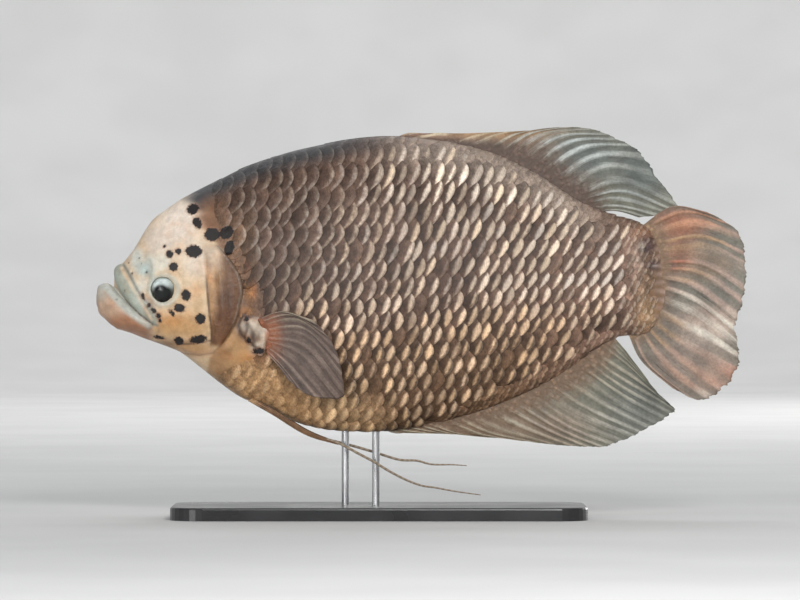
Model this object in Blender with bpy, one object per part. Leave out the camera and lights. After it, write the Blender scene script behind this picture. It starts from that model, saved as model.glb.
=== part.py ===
"""Giant gourami, a still life-size display model on a plain stand.

The fish faces -X with its left flank towards -Y and its back towards +Z.
The origin is on the floor under the middle of the fish.
Sizes are in millimetres and are turned into metres as the meshes are made.
"""
import math

import bmesh
import bpy
import numpy as np
from mathutils import Vector

MM = 0.001
GAP = 0.3
COLLECTION_NAME = "giant_gourami"
CUTTER_COLLECTION_NAME = "cutters"
# Points nearer than this are one point, in metres.
WELD = 0.00002

# Body stations from snout to tail: x, height of the back, height of the belly,
# half width, height of the widest place, roundness of the back and of the belly.
# A roundness over 1 gives a keeled edge and one under 1 a blunt one.
BODY_STATIONS = (
    (-283.0, 224.0, 205.0, 5.0, 214.0, 0.80, 0.80),
    (-279.5, 229.5, 193.0, 11.5, 212.0, 0.80, 0.80),
    (-274.0, 235.5, 180.0, 17.0, 210.0, 0.80, 0.80),
    (-265.0, 247.0, 171.0, 23.0, 208.0, 0.82, 0.80),
    (-256.0, 262.0, 165.5, 26.5, 207.0, 0.84, 0.80),
    (-248.5, 273.0, 162.5, 29.0, 207.0, 0.86, 0.80),
    (-237.5, 281.8, 158.5, 32.0, 207.0, 0.88, 0.82),
    (-223.0, 291.9, 152.4, 35.5, 207.0, 0.92, 0.85),
    (-204.5, 302.0, 138.6, 39.0, 206.0, 0.96, 0.88),
    (-186.0, 311.2, 124.0, 42.0, 206.0, 1.00, 0.92),
    (-168.0, 320.4, 111.5, 44.0, 206.0, 1.04, 0.96),
    (-146.0, 328.6, 101.9, 45.5, 206.0, 1.07, 1.00),
    (-122.0, 336.4, 90.0, 46.5, 207.0, 1.08, 1.00),
    (-96.0, 342.4, 82.8, 47.0, 208.0, 1.10, 1.00),
    (-67.0, 347.9, 80.0, 46.5, 209.0, 1.12, 1.00),
    (-35.5, 350.6, 80.0, 45.0, 210.0, 1.14, 1.02),
    (-2.5, 349.3, 85.0, 42.5, 212.0, 1.15, 1.05),
    (34.0, 343.6, 93.5, 38.5, 214.0, 1.15, 1.08),
    (71.0, 332.6, 105.8, 33.0, 216.0, 1.15, 1.10),
    (107.5, 314.4, 122.0, 27.0, 218.0, 1.12, 1.10),
    (139.5, 293.4, 141.6, 21.5, 219.0, 1.10, 1.08),
    (162.5, 282.7, 158.0, 17.5, 220.0, 1.06, 1.05),
    (183.0, 276.3, 168.0, 14.5, 221.0, 1.04, 1.04),
    (199.5, 270.8, 167.8, 11.5, 220.0, 1.02, 1.02),
    (208.0, 265.5, 171.0, 8.6, 219.0, 1.00, 1.00),
    (214.0, 257.0, 178.0, 5.8, 218.0, 1.00, 1.00),
    (218.0, 244.0, 192.0, 3.4, 218.0, 1.00, 1.00),
)
RING_STEPS = 20
HEAD_RINGS = 17
TRUNK_RINGS = 30
TAIL_RINGS = 7
ROOM_RINGS = 72

# The parting of head and trunk follows the rear edge of the gill cover.
HEAD_END = -206.0
GILL_BULGE = 39.0
GILL_HEIGHT = 208.0
GILL_SPREAD = 50.0
BULGE_FADE = 110.0
BULGE_POWER = 3.0
HEAD_CROWDING = 0.85
TRUNK_END = 172.0

# Gill cover: height, front edge and rear edge, from the top down.
GILL_COVER_ROWS = (
    (254.5, -194.0, -191.0),
    (251.0, -195.5, -187.0),
    (244.0, -197.0, -181.5),
    (237.0, -198.0, -176.5),
    (229.0, -197.5, -171.0),
    (221.0, -197.0, -167.0),
    (212.0, -196.5, -165.0),
    (203.0, -196.0, -165.5),
    (194.0, -195.5, -168.0),
    (184.0, -195.0, -171.5),
    (174.0, -194.5, -176.0),
    (166.0, -194.0, -180.0),
    (160.5, -193.0, -184.0),
    (157.5, -191.5, -187.0),
)
GILL_COVER_THICKNESS = 3.0
GILL_COVER_EDGE = 0.8
GILL_COVER_REST = 0.55
GILL_COVER_COLUMNS = 7

# Lips: points on the left half from the middle to the corner of the mouth,
# as x, y, z and radius.
UPPER_LIP_PATH = (
    (-276.5, 0.0, 226.0, 7.2),
    (-275.0, -8.5, 221.0, 7.2),
    (-270.5, -15.5, 211.5, 7.0),
    (-263.0, -20.5, 201.0, 6.5),
    (-255.0, -23.6, 191.5, 5.7),
    (-248.0, -25.0, 184.5, 4.6),
    (-242.5, -25.2, 179.0, 2.4),
)
LOWER_LIP_PATH = (
    (-291.0, 0.0, 208.0, 7.8),
    (-288.0, -9.5, 204.5, 7.8),
    (-280.5, -16.5, 197.0, 7.4),
    (-271.0, -20.8, 188.8, 6.6),
    (-261.0, -23.4, 182.2, 5.6),
    (-251.0, -24.4, 177.6, 3.6),
)
# Scoop of the lower jaw: x, top, bottom and half width.
JAW_STATIONS = (
    (-299.5, 204.0, 196.0, 4.0),
    (-297.5, 209.0, 189.5, 11.0),
    (-292.0, 211.0, 183.0, 18.0),
    (-284.0, 207.0, 176.0, 22.5),
    (-274.0, 198.0, 172.3, 25.0),
    (-263.0, 188.5, 170.0, 26.0),
    (-254.0, 182.0, 168.8, 25.5),
    (-246.0, 178.0, 169.5, 20.0),
)
JAW_RINGS = 12
JAW_STEPS = 8
JAW_WIDEST = 0.55
JAW_CROWDING = 1.2
JAW_ROUNDNESS = 0.8
LIP_RESOLUTION = 3
LIP_BEVEL = 2

EYE_CENTRE = (-236.0, 24.8, 209.8)
EYE_RADIUS = 12.6
CORNEA_RADIUS = 8.6
CORNEA_LIFT = 5.2
ORBIT_RIM_RADIUS = 13.6
ORBIT_RIM_THICKNESS = 1.7
ORBIT_RIM_POINTS = 18
NOSTRILS = ((-252.2, 225.5, 1.6), (-266.0, 224.8, 1.3))
PREOPERCLE_LINE = (
    (-199.5, 236.0), (-198.5, 222.0), (-197.0, 204.0), (-195.5, 186.0), (-194.0, 172.0),
    (-194.5, 163.5), (-202.0, 160.5), (-212.0, 159.8), (-220.0, 160.2),
)
GROOVE_RADIUS = 1.1

# Fins: each row is one ray from its root past the middle to its tip, as x, z.
DORSAL_RAYS = (
    ((-24.0, 349.0), (-19.0, 351.5), (-13.0, 353.5)),
    ((14.0, 344.0), (29.0, 350.5), (43.0, 353.5)),
    ((46.0, 338.0), (70.0, 350.5), (98.0, 356.0)),
    ((62.0, 333.0), (93.0, 352.0), (126.0, 359.0)),
    ((78.0, 326.0), (116.0, 352.0), (155.0, 357.5)),
    ((95.0, 317.0), (134.0, 346.5), (181.0, 348.0)),
    ((110.0, 307.0), (152.0, 334.5), (202.0, 335.0)),
    ((124.0, 296.0), (171.0, 319.0), (221.0, 308.0)),
    ((135.0, 290.0), (185.0, 303.5), (237.0, 283.5)),
    ((146.0, 285.0), (181.0, 289.5), (222.0, 278.0)),
    ((160.0, 281.0), (179.0, 281.5), (200.0, 275.5)),
)
ANAL_RAYS = (
    ((-37.0, 82.0), (-29.0, 78.5), (-21.0, 78.0)),
    ((-18.0, 86.0), (6.0, 80.0), (32.0, 76.5)),
    ((12.0, 91.0), (47.0, 77.5), (82.0, 72.0)),
    ((43.0, 101.0), (84.0, 80.0), (126.0, 66.5)),
    ((70.0, 111.0), (116.0, 84.0), (163.0, 64.5)),
    ((93.0, 122.0), (141.0, 91.0), (187.0, 70.5)),
    ((114.0, 132.0), (162.0, 100.0), (207.0, 80.5)),
    ((132.0, 143.0), (178.0, 113.0), (222.0, 89.0)),
    ((147.0, 154.0), (189.0, 126.0), (233.0, 98.5)),
    ((161.0, 165.0), (190.0, 141.0), (220.0, 109.5)),
    ((170.0, 172.0), (187.0, 153.0), (203.0, 130.5)),
)
CAUDAL_RAYS = (
    ((197.0, 265.0), (229.0, 286.0), (265.0, 280.0)),
    ((201.0, 260.0), (245.0, 278.5), (289.0, 264.5)),
    ((204.0, 251.0), (253.0, 263.0), (298.0, 243.5)),
    ((206.0, 241.0), (255.0, 243.0), (300.0, 222.0)),
    ((207.0, 229.0), (254.0, 223.5), (297.0, 198.0)),
    ((207.0, 218.0), (250.0, 206.5), (289.0, 177.0)),
    ((206.0, 207.0), (250.0, 189.0), (292.5, 155.0)),
    ((203.0, 196.0), (241.0, 168.0), (293.0, 140.0)),
    ((198.0, 186.0), (229.0, 151.5), (280.0, 117.5)),
    ((191.0, 178.0), (213.0, 141.0), (257.0, 106.5)),
    ((187.0, 173.0), (201.0, 144.0), (233.0, 116.5)),
)
PECTORAL_RAYS = (
    ((-150.0, 183.0), (-128.0, 190.0), (-99.0, 182.0)),
    ((-148.0, 178.5), (-115.0, 185.0), (-83.0, 163.0)),
    ((-146.5, 174.0), (-109.0, 177.0), (-75.0, 144.0)),
    ((-145.0, 169.5), (-107.0, 164.5), (-71.5, 124.0)),
    ((-144.0, 165.0), (-109.0, 151.0), (-72.0, 110.0)),
    ((-143.0, 160.5), (-115.0, 141.5), (-87.0, 109.5)),
    ((-142.0, 156.5), (-123.0, 137.5), (-106.0, 114.0)),
    ((-141.5, 152.0), (-131.0, 139.0), (-121.0, 126.0)),
)
# The pelvic rows also give the distance from the middle plane.
PELVIC_RAYS = (
    ((-160.0, 108.0, 12.0), (-138.0, 95.5, 14.0), (-107.0, 76.5, 13.5), (-77.0, 67.3, 11.5)),
    ((-158.0, 109.0, 12.5), (-137.0, 97.5, 15.0), (-107.0, 79.0, 14.5), (-78.5, 68.6, 12.0)),
    ((-156.0, 110.0, 12.5), (-136.0, 99.5, 15.0), (-107.0, 81.5, 14.5), (-80.0, 70.0, 12.0)),
)
DORSAL_FACETS = (28, 6)
ANAL_FACETS = (32, 6)
CAUDAL_FACETS = (30, 6)
PECTORAL_FACETS = (18, 6)
PELVIC_FACETS = (4, 7)
FIN_TIP_THICKNESS = 0.6
FIN_ROOT_THICKNESS = 4.4
PECTORAL_ROOT_THICKNESS = 3.0
PELVIC_ROOT_THICKNESS = 3.6
ROOT_TAPER = 2.2
RAY_HEIGHT = 1.0
RAY_FADE = 0.55
MARGIN_NOTCH = 0.035
PECTORAL_CLEARANCE = 1.2
PECTORAL_LIFT = 15.0
PECTORAL_LIFT_POWER = 1.1
# Fleshy root of the pectoral fin: x, z, the three radii and the tilt in degrees.
PECTORAL_BOSSES = (
    (-152.0, 176.0, (11.0, 5.0, 5.5), 38.0),
    (-146.0, 169.0, (8.0, 5.0, 10.5), 20.0),
    (-158.0, 171.0, (5.0, 3.6, 9.0), 24.0),
)
# Side waves of the fins: height, number of radians over the fin, and start.
DORSAL_WAVE = (1.6, 9.0, 1.5)
ANAL_WAVE = (1.8, 10.0, 0.0)
CAUDAL_WAVE = (1.2, 14.0, 0.0)
WAVE_GROWTH = 1.5
CAUDAL_FOLD = 4.5
CAUDAL_FOLD_PLACE = 0.54
CAUDAL_FOLD_SHARPNESS = 16.0
# The rear of the back fin swings aside to clear the tail fin.
REAR_SWING = 4.5
REAR_SWING_START = 0.5
REAR_SWING_SPAN = 0.35

LEFT_FILAMENT = (
    (-80.5, -12.0, 71.0, 1.30), (-76.0, -11.8, 69.0, 1.25), (-60.0, -11.0, 60.0, 1.20),
    (-45.0, -11.0, 52.0, 1.15), (-31.0, -11.5, 43.5, 1.10), (-15.5, -12.5, 35.5, 1.00),
    (-1.5, -13.0, 30.3, 0.90), (12.0, -13.5, 28.2, 0.80), (30.5, -14.0, 24.8, 0.65),
    (53.0, -14.5, 21.7, 0.40),
)
RIGHT_FILAMENT = (
    (-77.0, 12.2, 69.0, 1.30), (-64.0, 12.5, 65.8, 1.25), (-45.5, 13.0, 60.4, 1.20),
    (-22.0, 14.0, 53.2, 1.10), (-5.5, 15.0, 52.2, 1.00), (8.5, 15.0, 48.8, 0.85),
    (27.0, 15.5, 48.5, 0.65), (40.5, 16.0, 47.6, 0.40),
)

BASE_LENGTH = 380.0
BASE_WIDTH = 156.0
BASE_THICKNESS = 12.0
BASE_CENTRE_X = -40.0
BASE_CORNER = 30.0
BASE_BEVEL = 2.0
ROD_RADIUS = 3.5
ROD_X = (-71.0, -43.0)
ROD_SIDES = 20
ROD_REACH = 12.0

SHARP_ANGLE = 22.0

# Colours as red, green and blue, then roughness.
LOOKS = {
    "head": ((0.55, 0.42, 0.30), 0.38),
    "lip": ((0.50, 0.47, 0.38), 0.35),
    "trunk": ((0.27, 0.18, 0.12), 0.45),
    "tail": ((0.36, 0.24, 0.15), 0.45),
    "gill": ((0.36, 0.20, 0.10), 0.35),
    "eye": ((0.10, 0.13, 0.15), 0.10),
    "fin": ((0.34, 0.27, 0.21), 0.45),
    "pectoral": ((0.20, 0.15, 0.13), 0.45),
    "tail_fin": ((0.42, 0.25, 0.19), 0.45),
    "pelvic": ((0.38, 0.26, 0.16), 0.45),
    "stand": ((0.05, 0.05, 0.05), 0.40),
    "rod": ((0.55, 0.55, 0.55), 0.30),
}


def curve_through(knots, values, at):
    """Smooth cubic curve through the knots, its slopes taken from the neighbours."""
    knots = np.asarray(knots, dtype=float)
    values = np.asarray(values, dtype=float)
    at = np.clip(np.asarray(at, dtype=float), knots[0], knots[-1])
    step = np.diff(knots)
    rise = np.diff(values) / step
    slope = np.empty(len(knots))
    slope[0] = rise[0]
    slope[-1] = rise[-1]
    slope[1:-1] = (rise[:-1] * step[1:] + rise[1:] * step[:-1]) / (step[:-1] + step[1:])
    place = np.clip(np.searchsorted(knots, at) - 1, 0, len(knots) - 2)
    t = (at - knots[place]) / step[place]
    start = (2.0 * t ** 3 - 3.0 * t ** 2 + 1.0) * values[place]
    start += (t ** 3 - 2.0 * t ** 2 + t) * step[place] * slope[place]
    end = (3.0 * t ** 2 - 2.0 * t ** 3) * values[place + 1]
    end += (t ** 3 - t ** 2) * step[place] * slope[place + 1]
    return start + end


def body_section(x):
    """Top, bottom, half width, widest height and the two roundnesses at x."""
    table = np.array(BODY_STATIONS)
    return [curve_through(table[:, 0], table[:, column], x) for column in range(1, 7)]


def body_point(x, angle, grow=0.0):
    """Point of the body's right side; the angle runs from belly to back."""
    top, bottom, half, widest, back, belly = body_section(x)
    sine = math.sin(angle)
    cosine = max(math.cos(angle), 0.0)
    if sine >= 0.0:
        z = widest + (top + grow - widest) * sine
        y = (half + grow) * cosine ** back
    else:
        z = widest + (widest - bottom + grow) * sine
        y = (half + grow) * cosine ** belly
    return float(x), float(y), float(z)


def body_half_width(x, z):
    """Half width of the body at x and height z."""
    top, bottom, half, widest, back, belly = body_section(x)
    if z >= widest:
        share = min((z - widest) / (top - widest), 1.0)
        power = back
    else:
        share = min((widest - z) / (widest - bottom), 1.0)
        power = belly
    return float(half * max(1.0 - share * share, 0.0) ** (0.5 * power))


def body_ring(x, bulge, grow=0.0):
    """Closed ring round the body, its side pushed back by the gill bulge."""
    right = []
    for step in range(RING_STEPS + 1):
        angle = -0.5 * math.pi + math.pi * step / RING_STEPS
        z = body_point(x, angle)[2]
        shift = bulge * math.exp(-((z - GILL_HEIGHT) / GILL_SPREAD) ** 2)
        right.append(body_point(x + shift, angle, grow))
    left = [(px, -py, pz) for px, py, pz in reversed(right[1:-1])]
    return right + left


def move_to(thing, collection):
    """Keep the object in this collection alone; cutters show as wires."""
    for other in list(thing.users_collection):
        other.objects.unlink(thing)
    collection.objects.link(thing)
    if collection.name == CUTTER_COLLECTION_NAME:
        thing.hide_render = True
        thing.display_type = "WIRE"


def new_object(name, mesh, collection):
    """Object for a mesh, linked into the collection."""
    thing = bpy.data.objects.new(name, mesh)
    move_to(thing, collection)
    return thing


def tidy(mesh):
    """Weld doubled points and turn every face outward."""
    work = bmesh.new()
    work.from_mesh(mesh)
    bmesh.ops.remove_doubles(work, verts=work.verts, dist=WELD)
    bmesh.ops.recalc_face_normals(work, faces=work.faces)
    work.to_mesh(mesh)
    work.free()
    mesh.update()


def mesh_from(name, points, faces):
    """Mesh from points in millimetres, with outward faces."""
    mesh = bpy.data.meshes.new(name)
    mesh.from_pydata([(x * MM, y * MM, z * MM) for x, y, z in points], [], faces)
    tidy(mesh)
    return mesh


def loft(name, rings, collection):
    """Closed loft through mirrored rings, each end closed by a ladder of faces."""
    count = len(rings[0])
    points = [point for ring in rings for point in ring]
    faces = []
    for row in range(len(rings) - 1):
        for column in range(count):
            after = (column + 1) % count
            first = row * count
            second = first + count
            faces.append((first + column, first + after, second + after, second + column))
    for first in (0, (len(rings) - 1) * count):
        for column in range(count // 2):
            face = [first + column, first + column + 1]
            face.append(first + (count - column - 1) % count)
            face.append(first + (count - column) % count)
            unique = list(dict.fromkeys(face))
            faces.append(tuple(unique))
    return new_object(name, mesh_from(name, points, faces), collection)


def body_loft(name, stations, collection, grow=0.0):
    """Part of the body through stations of x and bulge."""
    rings = [body_ring(x, bulge, grow) for x, bulge in stations]
    return loft(name, rings, collection)


def whole_body(name, collection, grow):
    """The whole body as one closed loft, grown by the gap, for cutting."""
    table = np.array(BODY_STATIONS)
    places = np.linspace(table[0, 0] - grow, table[-1, 0] + grow, ROOM_RINGS)
    return body_loft(name, [(x, 0.0) for x in places], collection, grow)


def fin_grid(rays, facets):
    """Points of a fin's middle surface, columns across it and rows along the rays."""
    rays = np.array(rays, dtype=float)
    across = np.linspace(0.0, len(rays) - 1.0, facets[0] + 1)
    along = np.linspace(0.0, 1.0, facets[1] + 1)
    knots = np.linspace(0.0, 1.0, rays.shape[1])
    grid = np.empty((len(across), len(along), rays.shape[2]))
    for axis in range(rays.shape[2]):
        controls = [curve_through(np.arange(len(rays)), rays[:, k, axis], across)
                    for k in range(rays.shape[1])]
        controls = np.array(controls).T
        for column, values in enumerate(controls):
            reach = 1.0 - MARGIN_NOTCH * (column % 2)
            grid[column, :, axis] = curve_through(knots, values, along * reach)
    return grid, across / across[-1], along


def two_sided(name, front, back, collection):
    """Closed plate between two grids of points, with the same facets on both."""
    columns, rows = front.shape[:2]
    points = [tuple(p) for p in front.reshape(-1, 3)] + [tuple(p) for p in back.reshape(-1, 3)]
    offset = columns * rows
    faces = []
    for i in range(columns - 1):
        for j in range(rows - 1):
            a = i * rows + j
            b = a + rows
            faces.append((a, b, b + 1))
            faces.append((a, b + 1, a + 1))
            faces.append((offset + a, offset + b + 1, offset + b))
            faces.append((offset + a, offset + a + 1, offset + b + 1))
    border = [i * rows for i in range(columns)]
    border += [(columns - 1) * rows + j for j in range(1, rows)]
    border += [i * rows + rows - 1 for i in range(columns - 2, -1, -1)]
    border += [j for j in range(rows - 2, 0, -1)]
    for here, there in zip(border, border[1:] + border[:1]):
        faces.append((here, there, there + offset))
        faces.append((here, there + offset, here + offset))
    return new_object(name, mesh_from(name, points, faces), collection)


def fin_solid(name, centre, along, root, collection):
    """Closed fin with a ridge for each ray, the same on both faces."""
    run = np.gradient(centre, axis=1)
    over = np.gradient(centre, axis=0)
    normal = np.cross(over, run)
    normal /= np.linalg.norm(normal, axis=2, keepdims=True)
    taper = (1.0 - along) ** ROOT_TAPER
    half = 0.5 * (FIN_TIP_THICKNESS + (root - FIN_TIP_THICKNESS) * taper)
    ridge = RAY_HEIGHT * (1.0 - RAY_FADE * along)
    on_ray = (np.arange(centre.shape[0]) % 2 == 0)
    lift = (half[None, :] + ridge[None, :] * on_ray[:, None])[:, :, None]
    return two_sided(name, centre + normal * lift, centre - normal * lift, collection)


def upright_fin(name, rays, facets, sway, root, collection):
    """Fin in the middle plane, swayed sideways by a function of place."""
    flat, across, along = fin_grid(rays, facets)
    centre = np.zeros(flat.shape[:2] + (3,))
    centre[:, :, 0] = flat[:, :, 0]
    centre[:, :, 2] = flat[:, :, 1]
    centre[:, :, 1] = sway(across[:, None], along[None, :])
    return fin_solid(name, centre, along, root, collection)


def bevelled_curve(name, path, collection, resolution=3, bevel=2, closed=False):
    """Round tube along a path of x, y, z and radius, its ends filled or joined."""
    curve = bpy.data.curves.new(name, "CURVE")
    curve.dimensions = "3D"
    curve.resolution_u = resolution
    curve.bevel_mode = "ROUND"
    curve.bevel_depth = MM
    curve.bevel_resolution = bevel
    curve.use_fill_caps = True
    spline = curve.splines.new("BEZIER")
    spline.use_cyclic_u = closed
    spline.bezier_points.add(len(path) - 1)
    for knot, (x, y, z, radius) in zip(spline.bezier_points, path):
        knot.co = (x * MM, y * MM, z * MM)
        knot.handle_left_type = "AUTO"
        knot.handle_right_type = "AUTO"
        knot.radius = radius
    thing = new_object(name, curve, collection)
    bpy.context.view_layer.update()
    depsgraph = bpy.context.evaluated_depsgraph_get()
    mesh = bpy.data.meshes.new_from_object(thing.evaluated_get(depsgraph))
    bpy.data.objects.remove(thing)
    bpy.data.curves.remove(curve)
    tidy(mesh)
    return new_object(name, mesh, collection)


def mirrored_path(path):
    """Path from the left end through the middle to the right end."""
    right = [(x, -y, z, radius) for x, y, z, radius in path[1:]]
    return list(reversed(path)) + right


def ball(name, centre, radii, segments, rings, collection, tilt=0.0):
    """Ellipsoid from the sphere primitive."""
    bpy.ops.mesh.primitive_uv_sphere_add(segments=segments, ring_count=rings, radius=MM)
    thing = bpy.context.active_object
    thing.name = name
    thing.scale = radii
    thing.location = Vector(centre) * MM
    thing.rotation_euler = (0.0, tilt, 0.0)
    move_to(thing, collection)
    apply_transform(thing)
    return thing


def cylinder(name, centre, radius, height, sides, collection):
    """Upright cylinder from the primitive."""
    bpy.ops.mesh.primitive_cylinder_add(vertices=sides, radius=radius * MM, depth=height * MM)
    thing = bpy.context.active_object
    thing.name = name
    thing.location = Vector(centre) * MM
    move_to(thing, collection)
    apply_transform(thing)
    return thing


def apply_transform(thing):
    """Turn the object's placing into its mesh."""
    bpy.context.view_layer.update()
    thing.data.transform(thing.matrix_world)
    thing.matrix_world.identity()
    thing.location = (0.0, 0.0, 0.0)
    thing.rotation_euler = (0.0, 0.0, 0.0)
    thing.scale = (1.0, 1.0, 1.0)


def grown_copy(thing, cutters, gap=GAP):
    """Copy of a solid pushed out along its normals by the gap."""
    copy = new_object(thing.name + "_room", thing.data.copy(), cutters)
    normals = [vertex.normal.copy() for vertex in copy.data.vertices]
    for vertex, normal in zip(copy.data.vertices, normals):
        vertex.co += normal * gap * MM
    copy.data.update()
    return copy


def apply_boolean(thing, others, operation, cutters, solver="EXACT"):
    """Boolean with a collection of solids, applied, keeping the largest piece."""
    group = bpy.data.collections.new("group_" + thing.name)
    cutters.children.link(group)
    for other in others:
        group.objects.link(other)
    modifier = thing.modifiers.new("boolean", "BOOLEAN")
    modifier.operation = operation
    modifier.operand_type = "COLLECTION"
    modifier.collection = group
    modifier.solver = solver
    bpy.context.view_layer.update()
    depsgraph = bpy.context.evaluated_depsgraph_get()
    mesh = bpy.data.meshes.new_from_object(thing.evaluated_get(depsgraph))
    thing.modifiers.clear()
    old = thing.data
    thing.data = mesh
    bpy.data.meshes.remove(old)
    cutters.children.unlink(group)
    for other in list(group.objects):
        group.objects.unlink(other)
    bpy.data.collections.remove(group)
    keep_largest(thing)
    return thing


def keep_largest(thing):
    """Drop every loose piece but the largest, and tidy tiny edges."""
    work = bmesh.new()
    work.from_mesh(thing.data)
    bmesh.ops.remove_doubles(work, verts=work.verts, dist=WELD)
    bmesh.ops.dissolve_degenerate(work, edges=work.edges, dist=WELD)
    bmesh.ops.triangulate(work, faces=work.faces)
    seen = set()
    pieces = []
    for face in work.faces:
        if face in seen:
            continue
        piece = []
        waiting = [face]
        seen.add(face)
        while waiting:
            one = waiting.pop()
            piece.append(one)
            for edge in one.edges:
                for other in edge.link_faces:
                    if other not in seen:
                        seen.add(other)
                        waiting.append(other)
        pieces.append(piece)
    pieces.sort(key=lambda piece: sum(face.calc_area() for face in piece))
    for piece in pieces[:-1]:
        bmesh.ops.delete(work, geom=piece, context="FACES")
    loose = [vertex for vertex in work.verts if not vertex.link_faces]
    bmesh.ops.delete(work, geom=loose, context="VERTS")
    work.to_mesh(thing.data)
    work.free()
    thing.data.update()


def cut(thing, others, cutters, solver="EXACT"):
    """Take the other solids away from this one."""
    return apply_boolean(thing, others, "DIFFERENCE", cutters, solver)


def join(thing, others, cutters, solver="EXACT"):
    """Unite the other solids with this one."""
    return apply_boolean(thing, others, "UNION", cutters, solver)


def discard(things):
    """Remove helper objects that the model doesn't keep."""
    for thing in things:
        bpy.data.objects.remove(thing)


def dress(thing, look, smooth=True):
    """Give the object its own material and shading."""
    colour, roughness = LOOKS[look]
    material = bpy.data.materials.new(thing.name + "_material")
    material.use_nodes = True
    shader = material.node_tree.nodes["Principled BSDF"]
    shader.inputs["Base Color"].default_value = colour + (1.0,)
    shader.inputs["Roughness"].default_value = roughness
    shader.inputs["Metallic"].default_value = 1.0 if look == "rod" else 0.0
    thing.data.materials.clear()
    thing.data.materials.append(material)
    if smooth:
        thing.data.shade_smooth()
        thing.data.set_sharp_from_angle(angle=math.radians(SHARP_ANGLE))


def build_body(model):
    """Head, trunk and tail stalk, parted by thin gaps."""
    table = np.array(BODY_STATIONS)
    head = []
    for share in np.linspace(0.0, 1.0, HEAD_RINGS):
        x = table[0, 0] + (HEAD_END - table[0, 0]) * share ** HEAD_CROWDING
        head.append((x, GILL_BULGE * share ** BULGE_POWER))
    trunk = []
    for share in np.linspace(0.0, 1.0, TRUNK_RINGS):
        x = HEAD_END + GAP + (TRUNK_END - HEAD_END - GAP) * share
        fade = max(1.0 - (x - HEAD_END - GAP) / BULGE_FADE, 0.0)
        trunk.append((x, GILL_BULGE * fade * fade))
    tail = [(x, 0.0) for x in np.linspace(TRUNK_END + GAP, table[-1, 0], TAIL_RINGS)]
    return (body_loft("head", head, model), body_loft("trunk", trunk, model),
            body_loft("tail_stalk", tail, model))


def build_lips(model, cutters):
    """Upper lip and the lower jaw with its lip, fitted to each other."""
    upper = bevelled_curve("upper_lip", mirrored_path(UPPER_LIP_PATH), model,
                           LIP_RESOLUTION, LIP_BEVEL)
    table = np.array(JAW_STATIONS)
    rings = []
    for share in np.linspace(0.0, 1.0, JAW_RINGS):
        x = table[0, 0] + (table[-1, 0] - table[0, 0]) * share ** JAW_CROWDING
        top, bottom, half = [curve_through(table[:, 0], table[:, k], x) for k in (1, 2, 3)]
        middle = JAW_WIDEST * top + (1.0 - JAW_WIDEST) * bottom
        right = []
        for step in range(JAW_STEPS + 1):
            angle = -0.5 * math.pi + math.pi * step / JAW_STEPS
            reach = (top - middle) if step > JAW_STEPS // 2 else (middle - bottom)
            right.append((float(x), float(half * math.cos(angle) ** JAW_ROUNDNESS),
                          float(middle + reach * math.sin(angle))))
        left = [(px, -py, pz) for px, py, pz in reversed(right[1:-1])]
        rings.append(right + left)
    jaw = loft("lower_jaw", rings, model)
    lip = bevelled_curve("lower_lip", mirrored_path(LOWER_LIP_PATH), cutters,
                         LIP_RESOLUTION, LIP_BEVEL)
    join(jaw, [lip], cutters)
    room = grown_copy(upper, cutters)
    cut(jaw, [room], cutters)
    discard([lip, room])
    return upper, jaw


def build_eye(side, name, model, cutters):
    """Eyeball with its clear bulge, in the middle of the orbit."""
    x, y, z = EYE_CENTRE
    eye = ball(name, (x, side * y, z), (EYE_RADIUS,) * 3, 20, 12, model)
    bulge = ball("cornea", (x, side * (y + CORNEA_LIFT), z), (CORNEA_RADIUS,) * 3,
                 16, 10, cutters)
    join(eye, [bulge], cutters)
    discard([bulge])
    return eye


def orbit_rim(side, cutters):
    """Ring of skin that follows the head round the eye."""
    path = []
    for step in range(ORBIT_RIM_POINTS):
        angle = 2.0 * math.pi * step / ORBIT_RIM_POINTS
        x = EYE_CENTRE[0] + ORBIT_RIM_RADIUS * math.cos(angle)
        z = EYE_CENTRE[2] + ORBIT_RIM_RADIUS * math.sin(angle)
        path.append((x, side * body_half_width(x, z), z, ORBIT_RIM_THICKNESS))
    return bevelled_curve("orbit_rim", path, cutters, 1, 1, closed=True)


def surface_tube(name, line, side, radius, cutters):
    """Tube laid along a line of x, z on the skin, for a groove."""
    path = [(x, side * body_half_width(x, z), z, radius) for x, z in line]
    return bevelled_curve(name, path, cutters, 1, 0)


def gill_cover(side, name, model):
    """Curved plate just off the skin behind the cheek."""
    rows = np.array(GILL_COVER_ROWS)
    inner = np.empty((len(rows), GILL_COVER_COLUMNS + 1, 3))
    outer = np.empty_like(inner)
    for i, (z, front, rear) in enumerate(rows):
        height = (z - rows[-1, 0]) / (rows[0, 0] - rows[-1, 0])
        for j in range(GILL_COVER_COLUMNS + 1):
            share = j / GILL_COVER_COLUMNS
            x = front + (rear - front) * share
            swell = (math.sin(math.pi * height) * math.sin(math.pi * share)) ** 0.6
            thick = GILL_COVER_EDGE + (GILL_COVER_THICKNESS - GILL_COVER_EDGE) * swell
            y = body_half_width(x, z) + GILL_COVER_REST
            inner[i, j] = (x, side * y, z)
            outer[i, j] = (x, side * (y + thick), z)
    return two_sided(name, outer, inner, model)


def finish_head(head, upper, jaw, eyes, cutters):
    """Orbits, mouth, nostrils and the cheek groove of the head."""
    rims = [orbit_rim(side, cutters) for side in (-1.0, 1.0)]
    join(head, rims, cutters)
    takes = [grown_copy(thing, cutters) for thing in (upper, jaw, *eyes)]
    for side in (-1.0, 1.0):
        takes.append(surface_tube("cheek_groove", PREOPERCLE_LINE, side, GROOVE_RADIUS,
                                  cutters))
        for x, z, radius in NOSTRILS:
            y = side * body_half_width(x, z)
            takes.append(ball("nostril", (x, y, z), (radius,) * 3, 10, 6, cutters))
    for take in takes:
        cut(head, [take], cutters)
    discard(rims + takes)


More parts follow.
